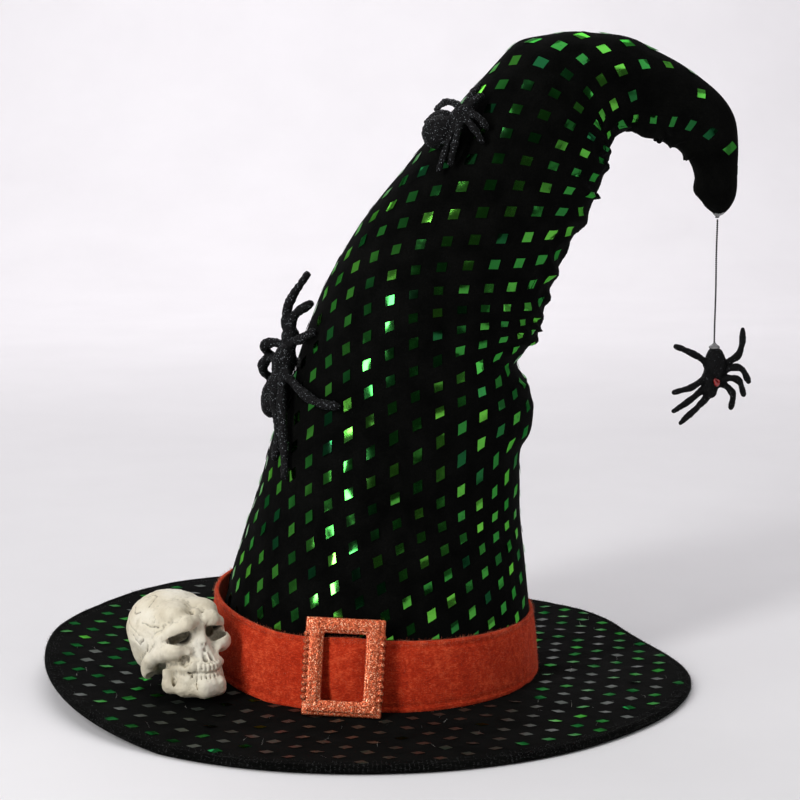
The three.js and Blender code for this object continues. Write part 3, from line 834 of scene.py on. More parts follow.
UPPER_SPIDER = {
    "thorax": (6.66, 223, 7),
    "lumps": [
        ((6.38, 219, 9), (9.3, 9.3, 9.8), (6.66, 223, 7)),
        ((6.53, 221, 7.5), (4.5, 4.5, 6), (6.66, 223, 7)),
        ((6.66, 223, 7), (6, 5.5, 7.5), (6.38, 219, 8.5)),
    ],
    "legs": [
        [(6.72, 216, 10.5), (6.67, 205, 9.5), (6.55, 184, 4.5)],
        [(6.59, 217, 9.5), (6.54, 208, 9.5), (6.38, 189, 4.6)],
        [(6.79, 220, 8.5), (6.91, 216, 7.5), (7.03, 208, 3.8)],
        [(6.79, 223, 8.5), (6.89, 222, 7.5), (6.95, 219, 3.6)],
        [(6.73, 228, 8.5), (6.75, 234, 7.5), (6.72, 240, 3.6)],
        [(6.65, 230, 8.5), (6.62, 237, 7.5), (6.57, 243, 3.6)],
        [(6.56, 229, 10.5), (6.36, 234, 9.5), (6.18, 236, 4.5)],
        [(6.52, 226, 9.5), (6.3, 230, 8.5), (6.05, 232, 4)],
    ],
    "leg_radius": 1.7,
}


def axes_towards(direction):
    """Rows of a frame whose third axis points along direction."""
    w = unit(np.asarray(direction, float))
    u = unit(np.cross(w, (0, 1, 0)) if abs(w[1]) < 0.9 else np.cross(w, (1, 0, 0)))
    return np.stack([u, np.cross(w, u), w])


def perched_spider(name, parts, node_name, step, seed):
    routes = [spline([perched(p) for p in [parts["thorax"], *leg]], 18) for leg in parts["legs"]]
    lumps = [(perched(at), radii, perched(to)) for at, radii, to in parts["lumps"]]
    reach = np.vstack([*routes, *[at for at, _, _ in lumps]])
    margin = max(max(radii) for _, radii, _ in lumps) + 4
    f = Field(reach.min(0) - margin, reach.max(0) + margin, step)
    for at, radii, to in lumps:
        f.ellipsoid(at, radii, axes_towards(to - at), soft=2.2)
    for k, route in enumerate(routes):
        f.limb(route, knobbly(route, parts["leg_radius"], seed + k, 0.7), soft=1.3)
    obj = blob(name, f, "glitter", "hat", (0.5, 1.6), seed)
    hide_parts(node_name)


# ---- The skull ----
SKULL_BASE = np.array([-111.0, -63.0, 8.6])
SKULL_YAW = math.radians(-50)
SKULL_TURN = np.array(
    [
        [math.cos(SKULL_YAW), -math.sin(SKULL_YAW), 0],
        [math.sin(SKULL_YAW), math.cos(SKULL_YAW), 0],
        [0, 0, 1],
    ]
)
# Lines scratched into the vault, as points near its skin
SKULL_SCRATCHES = [
    [(-23, -17, 45), (-19, -20, 43), (-14, -23, 40), (-4, -24, 37), (3, -23, 33), (2, -24, 27)],
    [(-17, -16, 49), (-13, -19, 46), (-7, -20, 48)],
    [(-14, -11, 54), (-8, -9, 57), (-4, -13, 54), (-3, -16, 51)],
    [(-2, -21, 43), (4, -20, 42), (9, -18, 42)],
    [(-28, -12, 44), (-23, -16, 46)],
    [(16, -3, 53), (15, -3, 57)],
    [(9, -8, 56), (13, -7, 52)],
    [(16, 4, 52), (14, 5, 56)],
    [(-9, -24, 35), (-3, -24, 31), (1, -23, 36)],
]
VAULT_CENTRE, VAULT_RADII = (-6, 0, 35.5), (28, 24.5, 22)


def on_vault(line):
    away = line - np.array(VAULT_CENTRE)
    return VAULT_CENTRE + away / np.linalg.norm(away / VAULT_RADII, axis=1)[:, None]


def skull_vault(f):
    f.ellipsoid(VAULT_CENTRE, VAULT_RADII)
    f.ellipsoid((-13, 0, 21.5), (15.5, 18.5, 14.5), soft=6)
    f.ellipsoid((8, 0, 34), (12, 15, 14), soft=4)
    for s in (-1, 1):
        f.ellipsoid((-2.5, 18 * s, 15), (5, 4.4, 6), soft=3)  # mastoid
        f.ellipsoid((11, 9.5 * s, 47.5), (9.5, 8.5, 7.5), soft=4)  # frontal bulge
        f.ellipsoid((8, 28.5 * s, 38), (8, 6, 9.5), soft=4, cut=True)  # temple


def skull_face(f):
    f.limb([(14, 0, 33.5), (23, 0, 20)], [10.5, 9.5], soft=4)  # upper jaw
    for s in (-1, 1):
        brow = [(12, 19.5 * s, 36), (17.5, 15 * s, 41), (21.5, 8.5 * s, 45), (21.5, 4.0 * s, 46)]
        f.limb(brow, [2.8, 3.8, 4.4, 3.4], soft=2.5)
        cheek = [
            (23, 10.5 * s, 28.5), (19.5, 16 * s, 31), (12, 20 * s, 28), (4, 20.5 * s, 23),
            (-1, 19.5 * s, 18.5),
        ]
        f.limb(cheek, [4.2, 5.2, 4.3, 3.8, 4.0], soft=2.2)
        f.ellipsoid((19.5, 15.5 * s, 30.5), (6, 5.5, 5.2), soft=2.5)
        f.limb([(12, 20 * s, 36), (15, 19 * s, 30.5)], [3.0, 3.8], soft=2.5)  # outer rim of the eye
    f.limb([(18.5, 0, 48.5), (21.5, 0, 42), (25.5, 0, 34)], [3.4, 2.5, 2.1], soft=2.2)
    for s in (-1, 1):
        f.limb([(19.5, 15 * s, 35.0), (24, 7 * s, 38.8)], [4.2, 3.4], soft=1.4, cut=True)
        f.limb([(18.5, 13.2 * s, 35.0), (21, 8.4 * s, 37.4)], [4.7, 4.3], soft=1.4, cut=True)
        f.limb([(11, 12 * s, 36), (15, 7.5 * s, 38)], [4.4, 4.0], soft=1.0, cut=True)
        f.limb([(27.5, 1.5 * s, 33), (31, 2.1 * s, 25.4)], [1.3, 1.6], soft=0.6, cut=True)  # nose
        f.ellipsoid((24.5, 12 * s, 25), (3.6, 2.8, 3.4), soft=2.0, cut=True)
        f.limb([(17, 2.6 * s, 53), (22, 3.2 * s, 45)], [1.0, 1.3], soft=1.0, cut=True)
    f.limb([(29.5, 0, 32.5), (28, 0, 30)], [1.6, 1.4], soft=0.6, cut=True)


def skull_jaw(f):
    f.block((29.5, 0, 9.6), (8.2, 9.2, 5.9), 4.8, soft=2)
    f.limb([(25, 0, 17.5), (25.5, 0, 13)], [8.6, 8.9], soft=2)
    for s in (-1, 1):
        body = [(29, 5 * s, 9), (22.5, 10.5 * s, 8.5), (14.5, 15.2 * s, 9.5), (14, 16.2 * s, 21)]
        f.limb(body, [5.3, 4.9, 4.5, 3.2], soft=2.0)
        f.limb([(25, 8.6 * s, 21.5), (17, 11 * s, 20)], [4.8, 5.0], soft=2.0)
        f.limb([(25, 8.6 * s, 14), (17, 11.5 * s, 13)], [4.4, 4.6], soft=2.0)
        f.ellipsoid((3.0, 17.5 * s, 9.5), (5.4, 7, 6.0), soft=1.5, cut=True)  # behind the jaw
        f.limb([(4, 19 * s, 15), (14, 17.6 * s, 21.5), (19, 15.6 * s, 22.5)], [1.6, 2.2, 2.0],
               soft=1.0, cut=True)  # under the cheekbone
        f.limb([(20.2, 16.2 * s, 21), (19.4, 15.4 * s, 10)], [1.9, 1.5], soft=0.8, cut=True)


def skull_teeth(f):
    def arch(degrees, z, out=0.0):
        a = math.radians(degrees)
        return 22.5 + (11.2 + out) * math.cos(a), (9.6 + out) * math.sin(a), z

    for degrees in range(-84, 85, 14):
        f.ellipsoid(arch(degrees, 21.0), (1.35, 1.3, 2.7), soft=0.7)
        f.ellipsoid(arch(degrees, 15.9), (1.3, 1.25, 2.5), soft=0.7)
    for degrees in range(-77, 78, 14):
        for low, high in ((19.6, 27), (8.4, 17.4)):
            gap = [arch(degrees, low, 1.2), arch(degrees, high, 0.9)]
            f.limb(gap, [0.62, 0.35], soft=0.5, cut=True)
    mouth = [arch(degrees, 18.5, 0.9) for degrees in range(-88, 89, 8)]
    f.limb(mouth, np.full(len(mouth), 0.72), soft=0.5, cut=True)
    for s in (-1, 1):
        f.limb([(25, 11.4 * s, 21.5), (29.5, 10.2 * s, 16), (33.5, 8.2 * s, 8)], [0.9, 0.8, 0.6],
               soft=0.5, cut=True)


def above_brim(p):
    """How far a point of the skull stands off the brim's cloth, whose pile is 0.7 mm high."""
    world = p @ SKULL_TURN.T + SKULL_BASE
    radius = np.hypot(world[..., 0] - BRIM_SHIFT / 2, world[..., 1])
    angle = np.arctan2(world[..., 1], world[..., 0])
    return world[..., 2] - (underside(radius, angle) + BRIM_THICKNESS + 0.7)


EVENING_ROUNDS = 14


def skull_hollows(points, faces):
    """How far each point lies under the evened-out surface, the eye sockets counted deep: the bone
    turns browner in shallow hollows, and painted shade darkens the deep ones near to black.
    """
    even = points
    for _ in range(EVENING_ROUNDS):
        even = relaxed(even, faces)
    hollow = ((even - points) * mesh_normals(points, faces)).sum(axis=1)
    # The eye sockets count as deep hollows all over, so that the painted shade fills them
    for s in (-1, 1):
        socket, radii = (18.5, 11 * s, 37.2), (6.2, 7.2, 5.2)
        inside = np.linalg.norm((points - socket) / radii, axis=1)
        hollow = np.maximum(hollow, 1.1 * (1 - smoothstep(inside, 0.75, 1.05)))
    return np.clip(hollow, -1, 2)


def skull():
    f = Field((-38, -28, -2), (42, 28, 61), 0.46)
    skull_vault(f)
    skull_jaw(f)
    skull_face(f)
    skull_teeth(f)
    for k, scratch in enumerate(SKULL_SCRATCHES):
        line = spline(scratch, 44)
        shake = np.stack([value_noise(line, 2.6, k + c) for c in (3, 4, 5)], axis=1)
        line = on_vault(line + 0.7 * shake)
        f.limb(line, 0.46 + 0.2 * value_noise(line, 5, 7 + k), soft=0.5, cut=True)
    f.carve(above_brim)
    points, faces = f.skin()
    points = rough(points, faces, 0.4, 4.5, 9)
    points = rough(points, faces, 0.2, 1.5, 19)
    obj = mesh_object("skull_casting", points @ SKULL_TURN.T + SKULL_BASE, faces)
    mark(obj, "hollow", skull_hollows(points, faces))
    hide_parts("skull")
    finished(obj, "bone", "hat")


# ---- The buckle ----
BUCKLE = {"width": 45.5, "height": 55, "rail": 10.8, "bar": 9, "depth": 3, "x": -15.5, "z": 32.6}
BUCKLE_STAND, BUCKLE_LEAN, BUCKLE_TURN = 3.9, math.radians(6.5), math.radians(3.5)
BAND_RADIUS = 94  # of the band's face behind the buckle
BUCKLE_AROUND = math.pi + math.acos(-BUCKLE["x"] / BAND_RADIUS)


def band_front(z, extra):
    return wall(BUCKLE_AROUND, z, BAND_GAP + FELT + extra).reshape(3)


def buckle_pose():
    """Its middle, and rows of a frame: across, up and face."""
    centre = band_front(BUCKLE["z"], BUCKLE_STAND)
    up = unit(band_front(BUCKLE["z"] + 10, 0) - band_front(BUCKLE["z"] - 10, 0))
    out = unit(np.array([BUCKLE["x"], centre[1], 0]))
    across = -unit(np.cross(up, -out))
    face = unit(np.cross(across, up))
    c, s = math.cos(BUCKLE_TURN), math.sin(BUCKLE_TURN)
    back, over = math.cos(BUCKLE_LEAN), math.sin(BUCKLE_LEAN)
    turned = np.array([[c, s * back, -s * over], [-s, c * back, -c * over], [0, over, back]])
    return centre, turned @ np.stack([across, up, face])


def buckle():
    w, h = BUCKLE["width"] / 2, BUCKLE["height"] / 2
    rail, bar, depth = BUCKLE["rail"], BUCKLE["bar"], BUCKLE["depth"]
    f = Field((-w - 4, -h - 4, -2), (w + 4, h + 4, 7), 0.42)
    f.block((0, 0, depth / 2), (w - 0.3, h - 0.3, depth / 2), 0.9)
    f.block((0, 0, depth - 0.2), (w - 3.2, h - 2.6, 0.7), 0.5, soft=0.8)
    f.block((0, 0, depth + 0.7), (w - rail + 1.6, h - bar + 1.4, 0.7), 0.5, soft=1.0, cut=True)
    f.block((0, 0, depth / 2), (w - rail, h - bar, 5), 0.9, soft=0.6, cut=True)
    for y in np.linspace(-17.5, 17.5, 10):  # the beads along both rails
        for side in (-1, 1):
            f.ellipsoid((side * (w - 1.2), y, depth - 0.2), (1.75, 1.7, 1.9), soft=0.2)
    points, faces = f.skin()
    points = rough(points, faces, 0.16, 1.3, 31)
    centre, axes = buckle_pose()
    obj = mesh_object("buckle_casting", points @ axes + centre, faces)
    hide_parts("buckle_frame")
    finished(obj, "copper", "hat")


# ---- The crown's cloth ----
# How far its outline stands from the smooth cone, as station and millimetres
INNER_FOLDS = [
    (0, 0), (1.6, 1), (2.6, 0), (2.95, -1.8), (3.2, 2.8), (3.45, 5.0), (3.7, 3.8), (4.0, -1.6),
    (4.2, -6.0), (4.42, -3.4), (4.65, 2.0), (5.05, 4.0), (5.5, 2.2), (6.0, 1.6), (6.4, 3.2),
    (6.9, 4.6), (7.6, 2.6), (8.5, 1.0), (9.0, -2.0), (9.6, 2.0), (10.3, 2.4), (11.4, 0),
    (12.7, -1.2), (13.8, 2.2), (14.4, 1.2), (15, 0),
]
OUTER_FOLDS = [
    (0, -1), (1, -1.7), (2, -2.2), (2.8, 0), (4.4, 0), (4.9, -2.6), (5.8, -4.4), (6.7, -3.2),
    (7.1, -1.2), (7.4, 2.2), (7.68, 6.6), (7.95, 3.0), (8.4, 0.4), (8.85, 2.6), (9.05, 2.6),
    (9.25, 0), (10.4, -1.4), (11.6, 1), (12.2, -0.8), (14.6, 1.0), (15, 0),
]
# Station on the inner side, stations sunk in a radian, width, depth in mm, spread in radians
FRONT_CREASES = [(4.15, 0.10, 0.13, 2.6, 1.5), (3.05, 0.16, 0.12, 1.3, 1.3)]
CLOTH_ROWS, CLOTH_COLUMNS = 236, 176
# How much longer the cloth is than the form on the inner side, by station
DRAWN_UP = [
    (0, 0.02), (2.6, 0.05), (4, 0.2), (6, 0.3), (9, 0.34), (13, 0.34), (14.6, 0.2), (15, 0.05),
]
SIM_STEPS, SIM_STEPS_QUICK, SIM_PACE = 320, 60, 0.55
# Springs of the cloth: rows down, columns across and stiffness
SPRINGS = [(1, 0, 0.5), (0, 1, 0.42), (1, 1, 0.1), (1, -1, 0.1)]
BENDING = 0.07
SLIDE_LIMIT, HEIGHT_LIMIT = 5.0, 7.5  # how far the cloth may slip along the form, and stand off it


def fold(rows, t):
    stations, heights = zip(*rows)
    return np.interp(t, stations, heights)


def wrapped(angle):
    return (angle + np.pi) % (2 * np.pi) - np.pi


def crown_form():
    """The smooth crown and tip, as a grid of rows an equal way apart along the outer side."""
    samples = 1500
    fine = np.linspace(0, len(WHOLE) - 1, samples)
    outer = cone_point(WHOLE, fine, np.full(samples, np.pi))
    length = np.concatenate([[0], np.cumsum(np.linalg.norm(np.diff(outer, axis=0), axis=1))])
    rows = np.interp(np.linspace(0, length[-1], CLOTH_ROWS), length, fine)
    angle = circle(CLOTH_COLUMNS)
    t, a = np.meshgrid(rows, angle, indexing="ij")
    at_inner, at_outer = wrapped(a), wrapped(a - np.pi)
    kernel = np.exp(-np.linspace(-2, 2, 9) ** 2)
    kernel /= kernel.sum()
    extra = 0
    for folds, side, spread in ((INNER_FOLDS, at_inner, 0.85), (OUTER_FOLDS, at_outer, 0.95)):
        soft = np.convolve(np.pad(fold(folds, rows), 4, "edge"), kernel, "valid")
        extra = extra + soft[:, None] * np.exp(-((side / spread) ** 2))
    # The two deep folds of the curl run round the front, and sink as they go
    for start, sink, width, depth, spread in FRONT_CREASES:
        crease = start + sink * np.abs(at_inner)
        across = np.exp(-(((t - crease) / width) ** 2))
        extra -= depth * across * np.exp(-((at_inner / spread) ** 2))
    points = cone_point(WHOLE, t.ravel(), a.ravel(), extra.ravel()).reshape(*t.shape, 3)
    return points, rows, angle, length[-1]


def spans(points):
    along_it = np.linalg.norm(np.diff(points, axis=0), axis=2)
    round_it = np.linalg.norm(np.roll(points, -1, axis=1) - points, axis=2)
    return along_it, round_it


def gathered(form, rows, angle, length):
    """A cloth simulation: the velour has more length than the form under it on the side of the
    curl, where its seam is drawn up, so it buckles into puckers that rest on the form."""
    normal = outward_normals(form, angle)
    along_it, round_it = spans(form)
    step = length / (CLOTH_ROWS - 1)
    at_inner = wrapped(angle)
    near = 0.03 + np.exp(-((at_inner / 0.62) ** 2)) + 0.25 * np.exp(-((at_inner / 1.5) ** 2))
    slack = 1 + fold(DRAWN_UP, rows)[:-1, None] * near[None]
    rest_along = np.minimum(along_it * slack, np.maximum(step, along_it))
    rest_round = round_it * 1.006
    diagonal = np.sqrt(rest_along**2 + rest_round[:-1] ** 2)
    rests = [rest_along, rest_round, diagonal, diagonal]
    t, a = np.meshgrid(np.cumsum(np.append(0, rest_along.mean(axis=1))), angle, indexing="ij")
    wave = np.stack([t, 26 * np.cos(a), 26 * np.sin(a)], axis=-1)
    seed = 0.9 * fractal(wave, 11, 3, 2) * np.append(slack, slack[-1:], axis=0)
    cloth = form + normal * np.abs(seed)[..., None]
    near_seam = np.exp(-((at_inner / 0.09) ** 2))[None, :, None]
    curve = form[:-2] - 2 * form[1:-1] + form[2:]
    ends = np.ones((CLOTH_ROWS, 1, 1))
    ends[:4], ends[-2:] = 0, 0
    for _ in range(SIM_STEPS):
        move = np.zeros_like(cloth)
        for (down, across, share), rest in zip(SPRINGS, rests):
            here, there = slice(None, CLOTH_ROWS - down), slice(down, None)
            d = np.roll(cloth[there], -across, axis=1) - cloth[here]
            size = np.linalg.norm(d, axis=2)
            push = share * ((size - rest) / np.maximum(size, 1e-6))[..., None] * d
            move[here] += push
            move[there] -= np.roll(push, across, axis=1)
        bend = cloth[:-2] - 2 * cloth[1:-1] + cloth[2:] - curve
        move[1:-1] += BENDING * bend
        move[:-2] -= BENDING / 2 * bend
        move[2:] -= BENDING / 2 * bend
        cloth = cloth + SIM_PACE * ends * move
        away = cloth - form
        height = (away * normal).sum(axis=2, keepdims=True)
        slide = away - height * normal
        reach = np.linalg.norm(slide, axis=2, keepdims=True)
        slide *= np.minimum(1, SLIDE_LIMIT / np.maximum(reach, 1e-6))
        height = np.clip(height, 0, HEIGHT_LIMIT) * (1 - 0.12 * near_seam)
        cloth = form + slide + height * normal
    return cloth, rest_along, rest_round


crown_smooth, crown_rows, crown_angle, crown_length = crown_form()
crown_cloth, flat_along, flat_round = gathered(crown_smooth, crown_rows, crown_angle, crown_length)
crown_cloth = clear_of_brim(crown_cloth)


def over_the_elbow(obj):
    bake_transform(obj)


def crown_velour():
    obj = mesh_object("crown_velour", crown_cloth, grid_faces(CLOTH_ROWS, CLOTH_COLUMNS))
    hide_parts("crown_cover", "tip_cover")
    finished(obj, "velour")
    over_the_elbow(obj)


# ---- The foil rhombi ----
# Steps of the pattern and sides of a rhombus, in the cloth's flat cut
LATTICE_DOWN, LATTICE_ACROSS = np.array([0, 16.6]), np.array([13.2, 6.7])
RHOMB_DOWN, RHOMB_ACROSS = np.array([0, 6.3]), np.array([5.0, 2.2])


def bilinear(grid, i, j):
    """Values of a closed grid between its points: i counts rows and j counts columns."""
    rows, columns = grid.shape[:2]
    i = np.clip(i, 0, rows - 1.001)
    i0 = np.floor(i).astype(int)
    j0 = np.floor(j).astype(int)
    fi, fj = (i - i0)[..., None], (j - j0)[..., None]
    a, b = j0 % columns, (j0 + 1) % columns
    top = grid[i0, a] * (1 - fj) + grid[i0, b] * fj
    low = grid[i0 + 1, a] * (1 - fj) + grid[i0 + 1, b] * fj
    return top * (1 - fi) + low * fi


def foil_patches(name, centres, scale, to_grid, grid, normal, body, seed, tint=0.48, rubbed=None):
    """Thin rhombi printed on a cloth: to_grid turns flat millimetres into rows and columns."""
    random = np.random.default_rng(seed)
    cells, lift, lean_spread, tint_spread = 5, 0.16, 0.25, 0.3
    f = np.linspace(-0.5, 0.5, cells)
    u, v = np.meshgrid(f, f, indexing="ij")
    offset = u[..., None] * RHOMB_DOWN + v[..., None] * RHOMB_ACROSS
    size = scale * random.uniform(0.95, 1.04, len(centres))
    flat = centres[:, None, None, :] + offset[None] * size[:, None, None, None]
    i, j, keep = to_grid(flat)
    whole = keep.all(axis=(1, 2))
    i, j = i[whole], j[whole]
    lean = random.normal(0, lean_spread, (4, len(i), 1, 1))
    tilt = lean[0] * u + lean[1] * v + lean[2] * u * u + lean[3] * v * v
    tilt -= tilt.min(axis=(1, 2), keepdims=True)
    points = bilinear(grid, i, j) + bilinear(normal, i, j) * (lift + tilt)[..., None]
    patch = grid_faces(cells, cells, closed=False)
    faces = (patch[None] + (np.arange(len(i)) * cells * cells)[:, None, None]).reshape(-1, 4)
    obj = mesh_object(name, points, faces)
    tints = np.clip(random.normal(tint, tint_spread, len(i)), 0, 1)
    if rubbed is not None:
        tints = np.where(random.random(len(i)) < rubbed[whole], -1, tints)
    mark(obj, "tint", np.repeat(tints, cells * cells))
    return finished(obj, "foil", body)


def lattice(reach):
    """Middles of the rhombi in a square of the flat cut that reaches so far each way."""
    count = int(reach / 6)
    steps = np.arange(-count, count + 1)
    a, b = np.meshgrid(steps, steps, indexing="ij")
    points = (a[..., None] * LATTICE_DOWN + b[..., None] * LATTICE_ACROSS).reshape(-1, 2)
    return points[(np.abs(points) < reach).all(axis=1)]


GRAIN = math.radians(350)  # where the cloth's grain runs straight up the crown
CONE_SINE = 0.16
TIP_STATION = 9.4


def crown_foil():
    """The pattern lies in the crown's flat cut, a sector of a disc with its middle at the tip."""
    apex = CROWN[0][2] / CONE_SINE
    outward = outward_normals(crown_cloth, crown_angle)

    def to_grid(flat):
        x, y = flat[..., 0], flat[..., 1]
        i = (apex - np.hypot(x, y)) / crown_length * (CLOTH_ROWS - 1)
        round_it = np.arctan2(-x, -y) / CONE_SINE
        j = (GRAIN - round_it) / (2 * np.pi) * CLOTH_COLUMNS
        keep = (i > 3) & (i < CLOTH_ROWS - 4) & (round_it > 0) & (round_it < 2 * np.pi)
        return i, j, keep

    # On the tip the patches are smaller, and from the elbow on some of them are worn off
    flat = lattice(apex + 10)
    up = apex - np.hypot(flat[:, 0], flat[:, 1])
    tip_from = np.interp(TIP_STATION, crown_rows, np.linspace(0, crown_length, CLOTH_ROWS))
    on_tip = up > tip_from
    missing = np.interp(up, [tip_from, crown_length - 30], [0.4, 0])
    kept = ~on_tip | (np.random.default_rng(15).random(len(flat)) > missing)
    scale = np.where(on_tip, 0.82, 1.0)[kept]
    obj = foil_patches("crown_foil", flat[kept], scale, to_grid, crown_cloth, outward, None, 11)
    over_the_elbow(obj)


# ---- Linings, filling and elastic ----
LINING_TOP, FILLING_FROM, FILLING_TO = 8.8, 8.4, 15  # stations


def crown_lining():
    """Foam between 1.9 and 4.1 mm inside the crown, sagging a little."""
    rows = np.flatnonzero(crown_rows < LINING_TOP)
    form = crown_smooth[rows][:, ::2]
    normal = outward_normals(form, crown_angle[::2])
    sag = 0.5 * fractal(form, 28, 41)
    quilt = 0.35 * np.cos(crown_rows[rows] * 2 * np.pi)[:, None] ** 8
    outside = form - normal * (1.9 + np.maximum(sag + quilt, -0.5))[..., None]
    inside = form - normal * (4.1 + sag + quilt)[..., None]
    loop = clear_of_brim(np.concatenate([outside, inside[::-1], outside[:1]]))
    obj = mesh_object("crown_lining", loop, grid_faces(len(loop), form.shape[1]))
    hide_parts("crown_foam_lining")
    finished(obj, "foam", "hat")


def tip_filling():
    rows = np.flatnonzero((crown_rows > FILLING_FROM) & (crown_rows < FILLING_TO))
    form = crown_smooth[rows][:, ::2]
    axis = form.mean(axis=1, keepdims=True)
    soft = axis + (form - axis) * (0.84 + 0.04 * fractal(form, 9, 43))[..., None]
    start = [axis[:1] + (soft[:1] - axis[:1]) * share for share in (0.05, 0.5)]
    end = [axis[-1:] + (soft[-1:] - axis[-1:]) * share for share in (0.5, 0.05)]
    rings = np.concatenate([*start, soft, *end])
    obj = mesh_object("tip_filling", rings, grid_faces(len(rings), form.shape[1]))
    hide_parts("tip_stuffing")
    finished(obj, "foam")
    over_the_elbow(obj)


def elastic(name, rows_from, rows_to, depth, width, body, replaced, pitch):
    """A shirred strip down the inner side, under the folds that it draws up."""
    steps, thickness = 150, 0.8
    t = np.linspace(rows_from, rows_to, steps)
    centre, radius, inward = section(WHOLE, t)
    shirr = 0.5 * np.sin(np.arange(steps) / pitch * 2 * np.pi)
    loops = []
    for y, d in ((-0.5, 0.0), (0.5, 0.0), (0.5, thickness), (-0.5, thickness)):
        r = radius + np.minimum(fold(INNER_FOLDS, t), 0) - depth - d + shirr
        p = centre + inward * r[:, None]
        p[:, 1] += y * width
        loops.append(p)
    obj = mesh_object(name, np.stack(loops, axis=1), grid_faces(steps, 4), smooth=False)
    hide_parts(replaced)
    finished(obj, "ribbon", body)


def band_wall(above, extra, columns):
    """A ring on the crown's wall at a height above the brim's underside at the seam."""
    angle = circle(columns)
    return wall(angle, underside(BRIM_INNER, angle) + above, extra)


def sweatband():
    """A ribbed ribbon round the head opening, which hangs inside the crown's lining."""
    columns, rows, low, high = 320, 22, 0.4, 30
    outside, thickness = -(1.2 + 2 + 1.2), 0.8
    angle = circle(columns)
    rib = 0.10 * np.sin(angle * 130)
    wave = 0.25 * np.sin(angle * 9 + 1) * np.sin(np.linspace(0, 3.1, rows))[:, None]
    from_edge = np.minimum(np.arange(rows), np.arange(rows)[::-1])
    edge = np.minimum(1, from_edge / 2.0)[:, None]
    front, back = [], []
    for k, z in enumerate(np.linspace(low, high, rows)):
        face = outside - thickness - 0.1 * edge[k] + (rib + wave[k]) * 0.5
        front.append(band_wall(z, face, columns))
        back.append(band_wall(z, outside - 0.1 + wave[k] * 0.3, columns))
    loop = np.stack(front + back[::-1] + front[:1])
    obj = mesh_object("sweatband_ribbon", loop, grid_faces(len(loop), columns)[:, ::-1])
    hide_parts("sweatband")
    finished(obj, "ribbon", "hat")


# ---- The brim ----
BRIM_COLUMNS = 480
BRIM_TOP_INNER, BRIM_UNDER_INNER = 93.5, 95.4  # where the two cloths start
STITCH_RADIUS = 189.0
BRIM_FOIL_SCALE, BRIM_FOIL_TINT = 0.84, 0.05


def brim_profile():
    """Radius and height above the underside, from under the band, round the edge and back."""
    top = [(r, BRIM_THICKNESS) for r in np.linspace(BRIM_TOP_INNER, 189.5, 56)]
    edge = [
        (191.0, 4.75), (192.3, 4.6), (193.4, 3.9), (194.0, 2.9), (194.1, 2.2), (193.7, 1.3),
        (192.9, 0.6), (191.6, 0.1), (190.2, 0.0),
    ]
    bottom = [(r, 0.0) for r in np.linspace(188, BRIM_UNDER_INNER, 40)]
    return top, edge, bottom


def brim_points(rows):
    angle = circle(BRIM_COLUMNS)
    return np.stack([brim_point(radius, angle, above) for radius, above in rows])


def ripple(upper, rows):
    """How far the top cloth stands up: soft ripples fan out from the crown's seam, and the
    edge's seam is sunk and draws in small puckers."""
    angle = circle(BRIM_COLUMNS)
    radius = np.array([r for r, _ in rows])
    spokes = np.broadcast_arrays(np.cos(angle) * 7, np.sin(angle) * 7, 0)
    fan = 0.45 * fractal(np.stack(spokes, -1), 1.0, 51)
    near_seam = np.exp(-((radius - 100) / 26) ** 2)
    near_edge = np.exp(-((radius[:, None] - 189.5) / 1.8) ** 2)
    pucker = 0.22 * np.sin(angle * 96 + 3 * np.sin(angle * 5)) * near_edge
    stitch_line = -0.45 * np.exp(-((radius - STITCH_RADIUS) / 0.8) ** 2)
    lie = 0.35 * fractal(upper, 24, 52) + 0.2 * fractal(upper, 8, 53)
    height = fan[None] * near_seam[:, None] * 2 + pucker + stitch_line[:, None] + lie
    return np.maximum(height, -0.7) + 0.35


def laid(flat, turn, sign):
    """Where the flat pattern comes to lie, turned, and mirrored for the underside."""
    c, s = math.cos(turn), math.sin(turn)
    return flat[..., 0] * c - flat[..., 1] * s, (flat[..., 0] * s + flat[..., 1] * c) * sign


def brim_foil(name, grid, rows, sign, turn, last):
    radii = np.array([r for r, _ in rows])
    grid = grid[: len(rows)]
    normal = grid_normals(grid)
    if normal[..., 2].mean() * sign < 0:
        normal = -normal

    def to_grid(flat):
        x, y = laid(flat, turn, sign)
        angle = np.arctan2(y, x)
        bent = edge_offset(angle)
        span = BRIM_OUTER - BRIM_INNER
        r = (np.hypot(x, y) * span + BRIM_INNER * bent) / (span + bent)
        i = np.interp(r, radii[::sign], np.arange(len(radii))[::sign])
        j = angle / (2 * np.pi) * BRIM_COLUMNS
        return i, np.where(j < 0, j + BRIM_COLUMNS, j), (r > 101) & (r < last)

    flat = lattice(200)
    # The foil is most rubbed in front, and least by the edge
    x, y = laid(flat, turn, sign)
    out = np.hypot(x, y)
    front = np.maximum(0, -y / np.maximum(out, 1)) ** 2
    rubbed = 0.30 + 0.66 * front - 0.3 * smoothstep(out, 165, 185)
    foil_patches(
        name, flat, np.full(len(flat), BRIM_FOIL_SCALE), to_grid, grid, normal, "hat", 21 + sign,
        BRIM_FOIL_TINT, rubbed,
    )


